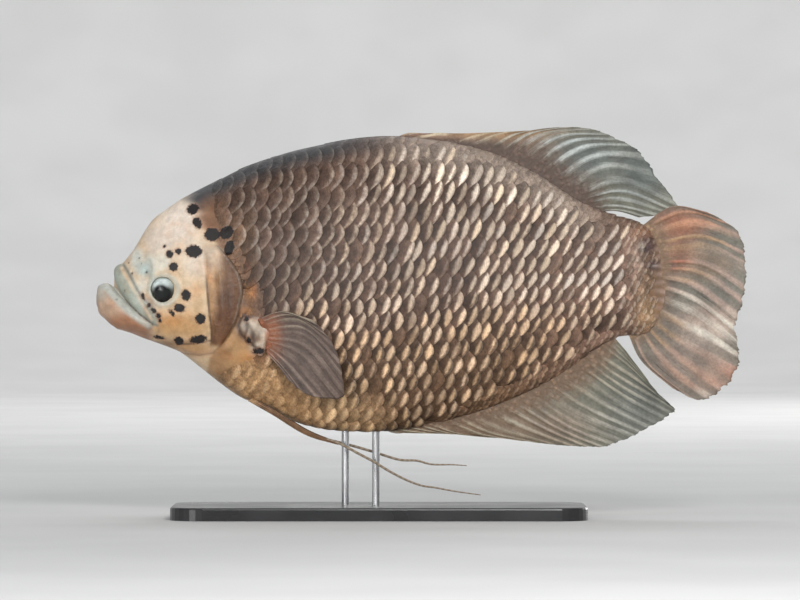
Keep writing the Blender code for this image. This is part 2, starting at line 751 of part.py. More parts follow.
def wave(across, shape):
    """Side wave over a fin from its height, length and start."""
    height, radians, start = shape
    return height * np.sin(radians * across + start)


def dorsal_sway(across, along):
    """Gentle wave of the back fin, its rear swung clear of the tail fin."""
    rear = np.clip((across - REAR_SWING_START) / REAR_SWING_SPAN, 0.0, 1.0)
    return (wave(across, DORSAL_WAVE) + REAR_SWING * rear ** 2) * along ** WAVE_GROWTH


def anal_sway(across, along):
    """Gentle wave of the fin under the tail."""
    return wave(across, ANAL_WAVE) * along ** WAVE_GROWTH


def caudal_sway(across, along):
    """The upper lobe lies nearer than the lower one, with a fold between them."""
    step = np.tanh((across - CAUDAL_FOLD_PLACE) * CAUDAL_FOLD_SHARPNESS)
    return CAUDAL_FOLD * step * along ** 1.2 + wave(across, CAUDAL_WAVE) * along ** 2


def pectoral_fin(side, name, model, cutters):
    """Side fin folded back along the flank, with the fleshy bosses of its root."""
    flat, _, along = fin_grid(PECTORAL_RAYS, PECTORAL_FACETS)
    centre = np.empty(flat.shape[:2] + (3,))
    for i in range(flat.shape[0]):
        for j in range(flat.shape[1]):
            x, z = flat[i, j]
            lift = PECTORAL_CLEARANCE + PECTORAL_LIFT * along[j] ** PECTORAL_LIFT_POWER
            centre[i, j] = (x, side * (body_half_width(x, z) + lift), z)
    fin = fin_solid(name, centre, along, PECTORAL_ROOT_THICKNESS, model)
    bosses = []
    for x, z, radii, tilt in PECTORAL_BOSSES:
        place = (x, side * body_half_width(x, z), z)
        bosses.append(ball("fin_boss", place, radii, 10, 6, cutters, math.radians(tilt)))
    join(fin, bosses, cutters)
    discard(bosses)
    return fin


def pelvic_fin(side, name, model):
    """Narrow fin laid along the breast."""
    grid, _, along = fin_grid(PELVIC_RAYS, PELVIC_FACETS)
    centre = np.empty_like(grid)
    centre[:, :, 0] = grid[:, :, 0]
    centre[:, :, 1] = side * grid[:, :, 2]
    centre[:, :, 2] = grid[:, :, 1]
    return fin_solid(name, centre, along, PELVIC_ROOT_THICKNESS, model)


def build_stand(model):
    """Flat base with rounded corners and two round rods."""
    bpy.ops.mesh.primitive_cube_add(size=MM)
    base = bpy.context.active_object
    base.name = "stand_base"
    base.scale = (BASE_LENGTH, BASE_WIDTH, BASE_THICKNESS)
    base.location = (BASE_CENTRE_X * MM, 0.0, 0.5 * BASE_THICKNESS * MM)
    move_to(base, model)
    apply_transform(base)
    work = bmesh.new()
    work.from_mesh(base.data)
    upright = [e for e in work.edges if abs(e.verts[0].co.z - e.verts[1].co.z) > 0.001]
    bmesh.ops.bevel(work, geom=upright, offset=BASE_CORNER * MM, segments=8, profile=0.5,
                    affect="EDGES")
    top = [e for e in work.edges if min(v.co.z for v in e.verts) > 0.5 * BASE_THICKNESS * MM]
    bmesh.ops.bevel(work, geom=top, offset=BASE_BEVEL * MM, segments=3, profile=0.5,
                    affect="EDGES")
    work.to_mesh(base.data)
    work.free()
    rods = []
    for place, x in zip(("front", "back"), ROD_X):
        foot = BASE_THICKNESS + GAP
        head = body_section(x)[1] + ROD_REACH
        rod = cylinder("stand_rod_" + place, (x, 0.0, 0.5 * (foot + head)), ROD_RADIUS,
                       head - foot, ROD_SIDES, model)
        rods.append(rod)
    return base, rods


def main():
    """Build every node of the model."""
    for thing in list(bpy.data.objects):
        bpy.data.objects.remove(thing)
    scene = bpy.context.scene
    model = bpy.data.collections.new(COLLECTION_NAME)
    cutters = bpy.data.collections.new(CUTTER_COLLECTION_NAME)
    scene.collection.children.link(model)
    scene.collection.children.link(cutters)

    room = whole_body("body_room", cutters, GAP)
    head, trunk, tail = build_body(model)
    upper, jaw = build_lips(model, cutters)
    left_eye = build_eye(-1.0, "eye_left", model, cutters)
    right_eye = build_eye(1.0, "eye_right", model, cutters)
    finish_head(head, upper, jaw, (left_eye, right_eye), cutters)
    covers = [gill_cover(-1.0, "gill_cover_left", model),
              gill_cover(1.0, "gill_cover_right", model)]

    dorsal = upright_fin("dorsal_fin", DORSAL_RAYS, DORSAL_FACETS, dorsal_sway,
                         FIN_ROOT_THICKNESS, model)
    anal = upright_fin("anal_fin", ANAL_RAYS, ANAL_FACETS, anal_sway,
                       FIN_ROOT_THICKNESS, model)
    caudal = upright_fin("caudal_fin", CAUDAL_RAYS, CAUDAL_FACETS, caudal_sway,
                         FIN_ROOT_THICKNESS, model)
    pectorals = [pectoral_fin(-1.0, "pectoral_fin_left", model, cutters),
                 pectoral_fin(1.0, "pectoral_fin_right", model, cutters)]
    pelvics = [pelvic_fin(-1.0, "pelvic_fin_left", model),
               pelvic_fin(1.0, "pelvic_fin_right", model)]
    filaments = [bevelled_curve("pelvic_filament_left", LEFT_FILAMENT, model, 2, 1),
                 bevelled_curve("pelvic_filament_right", RIGHT_FILAMENT, model, 2, 1)]
    base, rods = build_stand(model)
    for thing in (dorsal, anal, caudal, *pectorals, *pelvics, *rods):
        cut(thing, [room], cutters)
    discard([room])
    for fin, filament in zip(pelvics, filaments):
        space = grown_copy(fin, cutters)
        cut(filament, [space], cutters)
        discard([space])

    dress(head, "head")
    dress(trunk, "trunk")
    dress(tail, "tail")
    dress(upper, "lip")
    dress(jaw, "lip")
    dress(left_eye, "eye")
    dress(right_eye, "eye")
    for cover in covers:
        dress(cover, "gill")
    dress(dorsal, "fin")
    dress(anal, "fin")
    dress(caudal, "tail_fin")
    for fin in pectorals:
        dress(fin, "pectoral")
    for thing in pelvics + filaments:
        dress(thing, "pelvic")
    dress(base, "stand", smooth=False)
    for rod in rods:
        dress(rod, "rod")


main()
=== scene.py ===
"""Giant gourami on a plain stand: the dressed model and its small studio.

Lengths in the tables are in millimetres, in the frame's own axes: the fish faces
-X, its left flank is towards -Y and its back towards +Z.
"""
import math

import bmesh
import bpy
import numpy as np
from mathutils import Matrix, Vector


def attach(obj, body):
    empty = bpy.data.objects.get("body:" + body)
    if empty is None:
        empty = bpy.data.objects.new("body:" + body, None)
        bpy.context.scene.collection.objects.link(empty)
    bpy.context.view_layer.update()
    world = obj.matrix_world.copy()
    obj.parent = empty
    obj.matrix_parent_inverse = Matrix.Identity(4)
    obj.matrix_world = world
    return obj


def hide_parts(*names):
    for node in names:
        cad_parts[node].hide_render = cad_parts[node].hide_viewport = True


bl_info = {
    "name": "Giant Gourami",
    "version": (1, 0, 0),
    "blender": (4, 5, 0),
    "location": "View3D > Sidebar > Gourami",
    "description": "Skin, scales, fins, eyes, stand and studio of a life-size gourami",
    "category": "Object",
}

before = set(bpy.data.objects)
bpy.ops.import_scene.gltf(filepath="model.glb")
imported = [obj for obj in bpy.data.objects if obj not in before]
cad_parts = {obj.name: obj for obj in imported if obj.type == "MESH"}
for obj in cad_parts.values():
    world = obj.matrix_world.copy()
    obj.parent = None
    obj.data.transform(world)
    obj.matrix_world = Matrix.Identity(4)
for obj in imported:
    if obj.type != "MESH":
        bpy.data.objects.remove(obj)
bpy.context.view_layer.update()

MM = 0.001

# The two sides of the fish along Y.
SIDES = ((-1.0, "left"), (1.0, "right"))

# Body stations from snout to tail, as in the part's source: x, top, bottom,
# half width, widest height, roundness of the back and of the belly.
BODY_STATIONS = np.array((
    (-283, 224, 205, 5, 214, 0.80, 0.80),
    (-279.5, 229.5, 193, 11.5, 212, 0.80, 0.80),
    (-274, 235.5, 180, 17, 210, 0.80, 0.80),
    (-265, 247, 171, 23, 208, 0.82, 0.80),
    (-256, 262, 165.5, 26.5, 207, 0.84, 0.80),
    (-248.5, 273, 162.5, 29, 207, 0.86, 0.80),
    (-237.5, 281.8, 158.5, 32, 207, 0.88, 0.82),
    (-223, 291.9, 152.4, 35.5, 207, 0.92, 0.85),
    (-204.5, 302, 138.6, 39, 206, 0.96, 0.88),
    (-186, 311.2, 124, 42, 206, 1, 0.92),
    (-168, 320.4, 111.5, 44, 206, 1.04, 0.96),
    (-146, 328.6, 101.9, 45.5, 206, 1.07, 1),
    (-122, 336.4, 90, 46.5, 207, 1.08, 1),
    (-96, 342.4, 82.8, 47, 208, 1.10, 1),
    (-67, 347.9, 80, 46.5, 209, 1.12, 1),
    (-35.5, 350.6, 80, 45, 210, 1.14, 1.02),
    (-2.5, 349.3, 85, 42.5, 212, 1.15, 1.05),
    (34, 343.6, 93.5, 38.5, 214, 1.15, 1.08),
    (71, 332.6, 105.8, 33, 216, 1.15, 1.10),
    (107.5, 314.4, 122, 27, 218, 1.12, 1.10),
    (139.5, 293.4, 141.6, 21.5, 219, 1.10, 1.08),
    (162.5, 282.7, 158, 17.5, 220, 1.06, 1.05),
    (183, 276.3, 168, 14.5, 221, 1.04, 1.04),
    (199.5, 270.8, 167.8, 11.5, 220, 1.02, 1.02),
    (208, 265.5, 171, 8.6, 219, 1, 1),
    (214, 258, 177, 5.4, 218, 1, 1),
    (218, 252, 184, 3, 218, 1, 1),
    (223, 244, 192, 1.6, 218, 1, 1),
    (229, 234, 202, 0.8, 218, 1, 1),
))

# Lips as tubes: x, distance from the middle plane, height and radius.
UPPER_LIP = (
    (-276.5, 0, 226, 7.2),
    (-275, 8.5, 221, 7.2),
    (-270.5, 15.5, 211.5, 7),
    (-263, 20.5, 201, 6.5),
    (-255, 23.6, 191.5, 5.7),
    (-248, 25, 184.5, 4.6),
    (-242.5, 25.2, 179, 2.4),
)
LOWER_LIP = (
    (-291, 0, 208, 7.8),
    (-288, 9.5, 204.5, 7.8),
    (-280.5, 16.5, 197, 7.4),
    (-271, 20.8, 188.8, 6.6),
    (-261, 23.4, 182.2, 5.6),
    (-251, 24.4, 177.6, 3.6),
)

# Lower jaw: x, top, bottom and half width.
JAW_STATIONS = np.array((
    (-299.5, 204, 196, 4),
    (-297.5, 209, 189.5, 11),
    (-292, 211, 183, 18),
    (-284, 207, 176, 22.5),
    (-274, 198, 172.3, 25),
    (-263, 188.5, 170, 26),
    (-254, 182, 168.8, 25.5),
    (-246, 178, 169.5, 20),
))

# Centre of the right eye, which the left one mirrors, and the eyes' radius.
EYE_CENTRE = (-235.8, 23.7, 209.6)
EYE_RADIUS = 12.6

# Grid of the skin: x at the snout, behind the gills, at the tail's root and past its end,
# the half width, and the lowest and highest z.
GRID_X = (-305.0, -150.0, 200.0, 236.0)
GRID_HALF_WIDTH = 58.0
GRID_Z = (74.0, 358.0)

# The mouth's forms end at this x, and each lip is laid through this many points.
MOUTH_END = -225.0
LIP_POINTS = 22

# Lines on the head as pairs of height and x: front and rear edge of the gill cover.
CHEEK_EDGE = ((150, -197), (160, -194.2), (172, -193.6), (186, -195.3),
              (204, -196.8), (222, -198.2), (236, -199.6), (252, -202))
GILL_EDGE = ((150, -192), (159, -183.5), (167, -178), (182, -170.5),
             (198, -166.3), (212, -164.6), (223, -167.2), (237, -176.5),
             (249, -186), (256, -194))
GILL_TOP = 250.0
GILL_BOTTOM = 158.0
JAW_LINE = ((-224, 159.6), (-212, 160), (-202, 161), (-194, 163))
THROAT_LINE = ((-240, 156), (-220, 151.5), (-205, 149.6), (-192, 151.5),
               (-185, 158))

# Fine lines of the mouth in the side view: ridge and rear crease of the upper lip.
LIP_RIDGE = ((-276.5, 229.5), (-270, 219), (-261.4, 205.6), (-252.8, 191.5), (-247.5, 182))
LIP_CREASE = ((-273.8, 232), (-268.5, 224), (-261, 209.5), (-254.5, 200.5), (-243.5, 188.5),
              (-240, 180))

# Dark pores of the snout: x, height and radius.
PORES = (
    (-252.4, 225.5, 1), (-266, 224.4, 0.9), (-235.9, 249, 0.7), (-259.3, 238.3, 0.8),
    (-269.2, 234, 0.7), (-272.5, 208.6, 0.8), (-279.8, 200.6, 0.8), (-255.6, 203.6, 0.9),
    (-250.5, 195.4, 0.9), (-262, 231, 0.5), (-257, 233.5, 0.5), (-246, 246, 0.5),
)

# Wrinkles of the face, each a line in the side view with its depth in millimetres.
WRINKLES = (
    (((-244, 178), (-241, 173), (-243, 167)), 0.7),
    (((-236, 190), (-230, 188.5), (-222, 190)), 0.35),
    (((-254, 208), (-250, 198), (-244, 192)), 0.35),
    (((-224, 226), (-219, 218), (-218, 208), (-220, 199)), 0.40),
    (((-196, 250), (-190, 254), (-184, 253)), 0.45),
    (((-206, 226), (-202, 222), (-198, 221)), 0.30),
    (((-262, 243), (-256, 240), (-250, 241)), 0.30),
    (((-240, 236), (-233, 234), (-226, 230)), 0.35),
)

# Raised ring round the eye and the groove outside it: radius, width and height.
EYE_RING = (13.4, 1.9, 1.1)
EYE_GROOVE = (17.2, 2.0, 0.6)

# The pupils look down and a little forwards.
EYE_LOOK = (-0.16, -0.91, -0.38)

# Window over the eye: how far it is moved out and how much larger it is than the ball.
WINDOW_SHIFT = 0.4
WINDOW_GROWTH = 0.25

# Segments and rings of the eyeball and of its window.
BALL_MESH = (72, 40)
WINDOW_MESH = (56, 32)

# Skin flap and pit of the nostrils, and the fold of the shoulder behind the gill cover.
NASAL_FLAP = ((-252, 242), (-247.5, 236), (-245.5, 229), (-247, 221))
NASAL_PIT = (-252.5, 228)
SHOULDER_LINE = ((-168, 200), (-166, 188), (-172, 172), (-180, 158))

# Nostrils: x, height and radius.
NOSTRILS = ((-252.2, 225.5, 1.7), (-266.0, 224.8, 1.4))

# Fleshy root of the pectoral fin: bosses with centre, radii and turn in degrees.
PECTORAL_ROOT = (
    ((-152, 43.2, 176.5), (12, 3.4, 4), 36),
    ((-145, 43.6, 168), (6, 4, 10), 24),
    ((-157, 42.8, 170), (4, 2.4, 9), 24),
    ((-148.5, 42, 156), (5, 2.6, 8), -16),
)

# Dark folds round the root of the pectoral fin, each with its darkness.
ROOT_FOLDS = (
    (((-147, 187.5), (-156, 188.5), (-165, 185.5), (-168.5, 177), (-165.5, 169),
      (-158.5, 161), (-151, 156.5), (-146, 152)), 0.85),
    (((-160, 179), (-155, 171), (-153.5, 162)), 0.5),
)
ROOT_CENTRE = (-150.0, 170.0)

# Black blotches of the head: x, height, half length, half height and turn in degrees.
BLOTCHES = (
    (-210.2, 283.2, 5.2, 4.2, 20), (-205.9, 270.3, 3.6, 5, 30),
    (-192.3, 259.8, 6.4, 5.6, 0), (-178.8, 261.6, 6.2, 5.2, 30),
    (-176.3, 247.6, 4.2, 6.4, -15), (-209, 244.4, 7.2, 5.2, -10),
    (-231.2, 242, 3.2, 3.2, 0), (-223.1, 244.5, 2.8, 2.5, 0),
    (-227.5, 230.4, 3.8, 3.7, 0), (-235.9, 249.3, 1.1, 1.1, 0),
    (-215.8, 204.6, 3.9, 4.8, 10), (-222, 192.8, 4.6, 3.7, -10),
    (-202.8, 183, 4.4, 4.4, 0), (-229, 188, 1.6, 3.4, 40),
    (-240.9, 165.8, 4.6, 1.5, -8), (-223.1, 162.7, 4.2, 3.2, -15),
    (-255.5, 203.5, 1.6, 2.6, 35), (-250, 195.5, 1.8, 1.6, 35),
    (-246, 190.5, 1.8, 2.8, 35), (-241.5, 186, 2.2, 2, 0),
    (-240, 181.5, 1.2, 1.6, 0), (-160.5, 183, 3, 2, 30),
    (-158.8, 163.5, 1.5, 3, 20), (-149.5, 153.8, 5, 2.4, 10),
    (-205, 164.2, 7.4, 3.4, 8),
)

# Seeds of the chance that moves the blotches of the right side and the scales of each side.
BLOTCH_SEED = 11
SCALE_SEEDS = (5, 6)

# Rear edge of the bare head and front edge of the scales, as pairs of height and x.
HEAD_EDGE = ((130, -198), (150, -192), (165, -180), (182, -171), (212, -165),
             (237, -177), (249, -184), (262, -194), (275, -202), (290, -212),
             (305, -224))
SCALE_EDGE = ((90, -185), (130, -186), (150, -150), (166, -132), (185, -142),
              (205, -149), (225, -156), (245, -166), (262, -178), (285, -192),
              (310, -198), (330, -190))

# The skin is sunk by this much where scales cover it.
COAT_DEPTH = 1.3

# Rows of scales start at this x and are this long.
SCALE_START = -212.0
SCALE_RUN = 430.0
LARGE_ROWS = (-12, 10)

# How far the large scales keep from the back and the belly.
LARGE_BACK_GAP = 8.0
LARGE_BELLY_GAP = 4.0

# Small scales fill the margins: pitch, row distance, gaps to back and belly, and last x.
SMALL_PITCH = 6.2
SMALL_ROW = 6.0
SMALL_ROWS = (-40, 41)
SMALL_BACK_GAP = 2.5
SMALL_BELLY_GAP = 2.0
SMALL_END = 221.0

# The scales of a flank are split into two pieces at this x.
COAT_SPLIT = -20.0

# Height of the middle line at the tail's root.
TAIL_MIDDLE = 218.0

# Table of the flank: steps along the body, and reach and step round the section.
FLANK_COLUMNS = 320
FLANK_REACH = 240.0
FLANK_STEP = 2.0
SECTION_STEPS = 241

# Places of a scale's points along it, and how many lie across it.
SCALE_ALONG = (0.0, 0.22, 0.40, 0.50, 0.60, 0.70, 0.80, 0.88, 0.95, 1.0)
SCALE_ACROSS = 13

# The scales' map: its corner and size on the unrolled flank, its margin and a scale's share.
MAP_START = (-225.0, -200.0)
MAP_SIZE = (450.0, 400.0)
MAP_MARGIN = 0.04
MAP_PATCH = 0.0009

# Fins: each row is one ray from its root past the middle to its tip, as x and height.
DORSAL_RAYS = (
    ((-24, 349), (-19, 351.5), (-13, 353.5)),
    ((14, 344), (29, 350.5), (43, 353.5)),
    ((46, 338), (70, 350.5), (98, 356)),
    ((62, 333), (93, 352), (126, 359)),
    ((78, 326), (116, 352), (155, 357.5)),
    ((95, 317), (134, 346.5), (181, 348)),
    ((110, 307), (152, 334.5), (202, 335)),
    ((124, 296), (171, 319), (221, 308)),
    ((135, 290), (185, 303.5), (237, 283.5)),
    ((146, 285), (181, 289.5), (222, 278)),
    ((160, 281), (179, 281.5), (200, 275.5)),
)
ANAL_RAYS = (
    ((-37, 82), (-29, 78.5), (-21, 78)),
    ((-18, 86), (6, 80), (32, 76.5)),
    ((12, 91), (47, 77.5), (82, 72)),
    ((43, 101), (84, 80), (126, 66.5)),
    ((70, 111), (116, 84), (163, 64.5)),
    ((93, 122), (141, 91), (187, 70.5)),
    ((114, 132), (162, 100), (207, 80.5)),
    ((132, 143), (178, 113), (222, 89)),
    ((147, 154), (189, 126), (233, 98.5)),
    ((161, 165), (190, 141), (220, 109.5)),
    ((170, 172), (187, 153), (203, 130.5)),
)
CAUDAL_RAYS = (
    ((197, 265), (229, 286), (265, 280)),
    ((201, 260), (245, 278.5), (289, 264.5)),
    ((204, 251), (253, 263), (298, 243.5)),
    ((206, 241), (255, 243), (300, 222)),
    ((207, 229), (254, 223.5), (297, 198)),
    ((207, 218), (250, 206.5), (289, 177)),
    ((206, 207), (250, 189), (292.5, 155)),
    ((203, 196), (241, 168), (293, 140)),
    ((198, 186), (229, 151.5), (280, 117.5)),
    ((191, 178), (213, 141), (257, 106.5)),
    ((187, 173), (201, 144), (233, 116.5)),
)
PECTORAL_RAYS = (
    ((-150, 183), (-128, 190), (-99, 182)),
    ((-148, 178.5), (-115, 185), (-83, 163)),
    ((-146.5, 174), (-109, 177), (-75, 144)),
    ((-145, 169.5), (-107, 164.5), (-71.5, 124)),
    ((-144, 165), (-109, 151), (-72, 110)),
    ((-143, 160.5), (-115, 141.5), (-87, 109.5)),
    ((-142, 156.5), (-123, 137.5), (-106, 114)),
    ((-141.5, 152), (-131, 139), (-121, 126)),
)

# The pelvic rows hold x, height and distance from the middle plane.
PELVIC_RAYS = (
    ((-160, 108, 12), (-138, 95.5, 14), (-107, 76.5, 13.5), (-77, 67.3, 11.5)),
    ((-158, 109, 12.5), (-137, 97.5, 15), (-107, 79, 14.5), (-78.5, 68.6, 12)),
    ((-156, 110, 12.5), (-136, 99.5, 15), (-107, 81.5, 14.5), (-80, 70, 12)),
)

# Pelvic feelers: x, y, height and radius.
LEFT_FILAMENT = (
    (-92, -12.6, 73.6, 0.70), (-78, -11.9, 69.6, 1.20), (-60, -11, 60, 1.20),
    (-45, -11, 52, 1.15), (-31, -11.5, 43.5, 1.10), (-15.5, -12.5, 35.5, 1),
    (-1.5, -13, 30.3, 0.90), (12, -13.5, 28.2, 0.80), (30.5, -14, 24.8, 0.65),
    (53, -14.5, 21.7, 0.40),
)
RIGHT_FILAMENT = (
    (-90, 12.6, 72.8, 0.70), (-76, 12.1, 68.8, 1.25), (-64, 12.5, 65.8, 1.25),
    (-45.5, 13, 60.4, 1.20), (-22, 14, 53.2, 1.10), (-5.5, 15, 52.2, 1),
    (8.5, 15, 48.8, 0.85), (27, 15.5, 48.5, 0.65), (40.5, 16, 47.6, 0.40),
)

# Points and sides of a feeler's mesh.
FILAMENT_POINTS = 70
FILAMENT_SIDES = 10

# How far the side fins' tips stand off, the tail fin folds and the back fin swings.
PECTORAL_LIFT = 15.0
CAUDAL_FOLD = 4.5
REAR_SWING = 4.5

# Points of a fin's mesh across each of its rays.
RAY_POINTS = 10

# Waves of the fin rays' joints along a fin, and of the feelers' rings.
JOINT_WAVES = 190.0

# Tones in linear red, green and blue.
TONES = {
    "slate": (0.052, 0.054, 0.058),
    "flank": (0.142, 0.085, 0.061),
    "rear": (0.202, 0.120, 0.085),
    "haze": (0.370, 0.290, 0.235),
    "low": (0.170, 0.096, 0.055),
    "belly": (0.570, 0.350, 0.185),
    "breast": (0.450, 0.260, 0.125),
    "forehead": (0.680, 0.585, 0.500),
    "crown": (0.520, 0.440, 0.370),
    "temple": (0.625, 0.550, 0.465),
    "brow": (0.560, 0.535, 0.455),
    "cheek": (0.600, 0.440, 0.280),
    "jowl": (0.470, 0.270, 0.120),
    "snout": (0.560, 0.580, 0.530),
    "nasal": (0.380, 0.440, 0.410),
    "lip": (0.330, 0.355, 0.300),
    "lip_low": (0.435, 0.435, 0.385),
    "blush": (0.395, 0.245, 0.175),
    "chin": (0.360, 0.175, 0.095),
    "throat": (0.220, 0.120, 0.060),
    "gill": (0.138, 0.068, 0.033),
    "gill_pale": (0.520, 0.410, 0.310),
    "gill_edge": (0.270, 0.250, 0.220),
    "orange": (0.560, 0.230, 0.055),
    "shoulder": (0.210, 0.120, 0.072),
    "bone": (0.620, 0.560, 0.480),
    "rust": (0.330, 0.120, 0.060),
    "tail": (0.190, 0.115, 0.070),
    "bark": (0.160, 0.088, 0.052),
    "gill_dark": (0.080, 0.040, 0.026),
    "plum": (0.060, 0.036, 0.040),
    "black": (0.014, 0.010, 0.010),
    "pewter": (0.400, 0.400, 0.350),
    "ice": (0.520, 0.560, 0.550),
    "cream": (0.560, 0.450, 0.310),
    "deep": (0.075, 0.090, 0.090),
    "sheath": (0.122, 0.080, 0.060),
    "sheath_low": (0.220, 0.140, 0.088),
    "khaki": (0.340, 0.310, 0.240),
    "moss": (0.150, 0.145, 0.110),
    "sand": (0.440, 0.380, 0.270),
    "salmon": (0.470, 0.230, 0.135),
    "amber": (0.450, 0.280, 0.135),
    "amber_low": (0.290, 0.185, 0.110),
    "ember": (0.480, 0.150, 0.090),
    "frost": (0.690, 0.640, 0.545),
    "mauve": (0.385, 0.275, 0.225),
    "steel": (0.095, 0.112, 0.108),
    "lichen": (0.172, 0.160, 0.130),
    "umber": (0.240, 0.180, 0.145),
    "dusky": (0.105, 0.072, 0.060),
    "iris": (0.90, 1.0, 0.97),
    "iris_low": (0.11, 0.12, 0.10),
    "pupil": (0.010, 0.011, 0.011),
    "feeler": (0.32, 0.255, 0.185),
    "pale_front": (0.230, 0.180, 0.148),
    "pale_mid": (0.590, 0.480, 0.385),
    "pale_rear": (0.700, 0.580, 0.470),
    "pale_low": (0.740, 0.520, 0.340),
    "pale_belly": (0.800, 0.560, 0.330),
    # Painted light on the faces of the upper flank's scales.
    "pale_top_light": (0.820, 0.700, 0.570),
}

# Tints that the materials lay over the stored tones, and their own fixed colours.
TINTS = {
    "none": (1.0, 1.0, 1.0),
    "flush": (1.0, 0.78, 0.62),
    "cool": (0.86, 0.96, 1.02),
    "vein_dark": (0.66, 0.58, 0.52),
    "vein_pale": (1.18, 1.12, 1.04),
    "freckle": (0.22, 0.10, 0.05),
    # Painted shade in the skin's creases.
    "crease": (0.045, 0.026, 0.020),
    "halo": (0.30, 0.13, 0.06),
    "warm_face": (1.08, 1.0, 0.88),
    "cold_face": (0.93, 0.95, 1.0),
    # Painted highlight on the scales' free edges.
    "scale_rim_highlight": (0.60, 0.53, 0.44),
    # Painted shade in the fins' furrows and painted highlight on their crests.
    "furrow_shade": (0.055, 0.050, 0.048),
    "glint": (0.62, 0.66, 0.63),
    "joint": (0.20, 0.145, 0.095),
    "iris_fleck": (0.26, 0.29, 0.27),
    "orbit_low": (0.22, 0.19, 0.13),
    "orbit_high": (0.40, 0.42, 0.37),
    # Painted shadow in the gap where the eyeball meets the skin.
    "orbit_gap_shade": (0.05, 0.05, 0.045),
    "window": (0.96, 0.98, 0.98),
    "base_dark": (0.016, 0.016, 0.017),
    "base_pale": (0.026, 0.026, 0.028),
    "rod_dark": (0.42, 0.42, 0.43),
    "rod_pale": (0.62, 0.62, 0.63),
    "paper_dark": (0.58, 0.58, 0.57),
    "paper_pale": (0.62, 0.62, 0.61),
    "sky": (0.92, 0.95, 1.0),
}

# Soft patches of colour on the head: x, height, half length, half height, tone, share.
HEAD_PATCHES = (
    (-222, 272, 22, 26, "forehead", 1),
    (-240, 256, 15, 14, "forehead", 0.75),
    (-250, 250, 7, 22, "crown", 0.45),
    (-240, 254, 11, 11, "crown", 0.50),
    (-200, 290, 14, 8, "crown", 0.8),
    (-198, 274, 8, 10, "rust", 0.35),
    (-186, 262, 12, 8, "shoulder", 0.6),
    (-204, 236, 16, 16, "temple", 0.9),
    (-240, 234, 13, 9, "brow", 0.9),
    (-262, 238, 7, 12, "snout", 0.9),
    (-254, 228, 8, 7, "nasal", 1),
    (-250, 232, 5, 10, "nasal", 0.6),
    (-247, 216, 4, 12, "nasal", 0.7),
    (-256, 212, 6, 8, "snout", 0.7),
    (-214, 176, 22, 12, "jowl", 0.95),
    (-234, 176, 14, 10, "jowl", 0.9),
    (-226, 182, 8, 6, "orange", 0.35),
    (-243, 186, 5, 8, "orange", 0.30),
    (-205, 200, 5, 22, "jowl", 0.45),
    (-240, 196, 9, 5, "brow", 0.5),
    (-225, 159, 34, 4.5, "throat", 0.8),
    (-205, 152, 20, 5, "chin", 0.6),
    (-211, 156, 20, 5, "jowl", 0.7),
)

# Patches on the root of the pectoral fin, in the same form.
ROOT_PATCHES = (
    (-156, 177, 10, 8, "bone", 0.9),
    (-147, 170, 9, 11, "bone", 0.95),
    (-149, 157, 8, 9, "bone", 0.85),
    (-160, 185, 8, 1.8, "plum", 0.75),
    (-160.5, 175, 2.2, 7, "plum", 0.65),
    (-154.5, 166.5, 2.4, 5, "plum", 0.65),
    (-150, 165, 3.5, 4, "shoulder", 0.8),
    (-149.5, 153.5, 6.5, 3.4, "plum", 0.8),
    (-141, 166, 3, 13, "rust", 0.75),
    (-156, 146, 14, 7, "orange", 0.40),
)

# Patches at the tail's root and round the shoulder, in the same form.
TAIL_PATCHES = (
    (208, 200, 13, 30, "sheath_low", 0.9),
    (208, 188, 12, 12, "amber", 0.30),
    (206, 262, 12, 7, "salmon", 0.5),
    (206, 250, 8, 11, "plum", 0.85),
    (212, 232, 9, 5, "plum", 0.9),
    (201, 249, 2, 4, "bone", 0.55),
    (213, 231.5, 3, 1.2, "bone", 0.5),
    (196, 236, 6, 18, "mauve", 0.35),
)
SHOULDER_PATCHES = (
    (-160, 216, 9, 30, "bark", 1),
    (-157, 198, 9, 12, "bark", 0.8),
    (-154, 210, 3, 8, "rust", 0.40),
    (-160, 232, 3, 6, "rust", 0.5),
    (-190, 134, 18, 14, "throat", 0.45),
    (-162, 190, 6, 4.5, "orange", 0.32),
    (-172, 183, 6, 5, "orange", 0.35),
    (-176, 168, 7, 9, "jowl", 0.8),
    (-166, 156, 16, 10, "jowl", 0.7),
    (-184, 150, 12, 8, "throat", 0.4),
    (-150, 148, 8, 6, "rust", 0.35),
    (-168, 238, 7, 10, "bark", 0.8),
    (-190, 284, 12, 12, "bark", 0.7),
    (-197, 277, 6, 8, "shoulder", 0.9),
    (-178, 262, 12, 8, "bark", 0.7),
    (-157, 208, 5, 9, "orange", 0.30),
)

# Patches of the fins' raised folds and of the furrows between them; the folds' colours are partly
# painted light and the furrows' partly painted shade, over the rays' and membrane's own colours.
DORSAL_CREST = (
    (-10, 352, 70, 14, "cream", 1),
    (40, 352, 40, 8, "cream", 0.9),
    (104, 357, 52, 6.5, "cream", 0.75),
    (84, 338, 26, 16, "sand", 0.8),
    (120, 350, 36, 10, "ice", 0.9),
    (150, 335, 30, 18, "ice", 0.8),
    (140, 312, 26, 14, "pewter", 0.6),
    (185, 300, 36, 14, "ice", 0.5),
    (205, 316, 28, 28, "steel", 0.70),
    (178, 345, 26, 10, "steel", 0.35),
)
DORSAL_VALLEY = (
    (0, 350, 80, 14, "rust", 0.4),
    (76, 354, 50, 6, "amber", 0.7),
    (90, 332, 40, 24, "shoulder", 0.8),
    (150, 330, 40, 22, "steel", 0.75),
    (205, 320, 26, 40, "deep", 0.8),
    (200, 290, 30, 14, "moss", 0.6),
)
ANAL_CREST = (
    (20, 82, 60, 20, "sand", 0.9),
    (90, 72, 60, 8, "sand", 0.9),
    (130, 84, 40, 20, "mauve", 0.5),
    (190, 85, 40, 30, "ice", 0.30),
    (216, 96, 28, 26, "steel", 0.55),
)
ANAL_VALLEY = (
    (20, 84, 60, 20, "shoulder", 0.7),
    (90, 84, 60, 20, "shoulder", 0.5),
    (200, 100, 34, 34, "deep", 0.5),
)
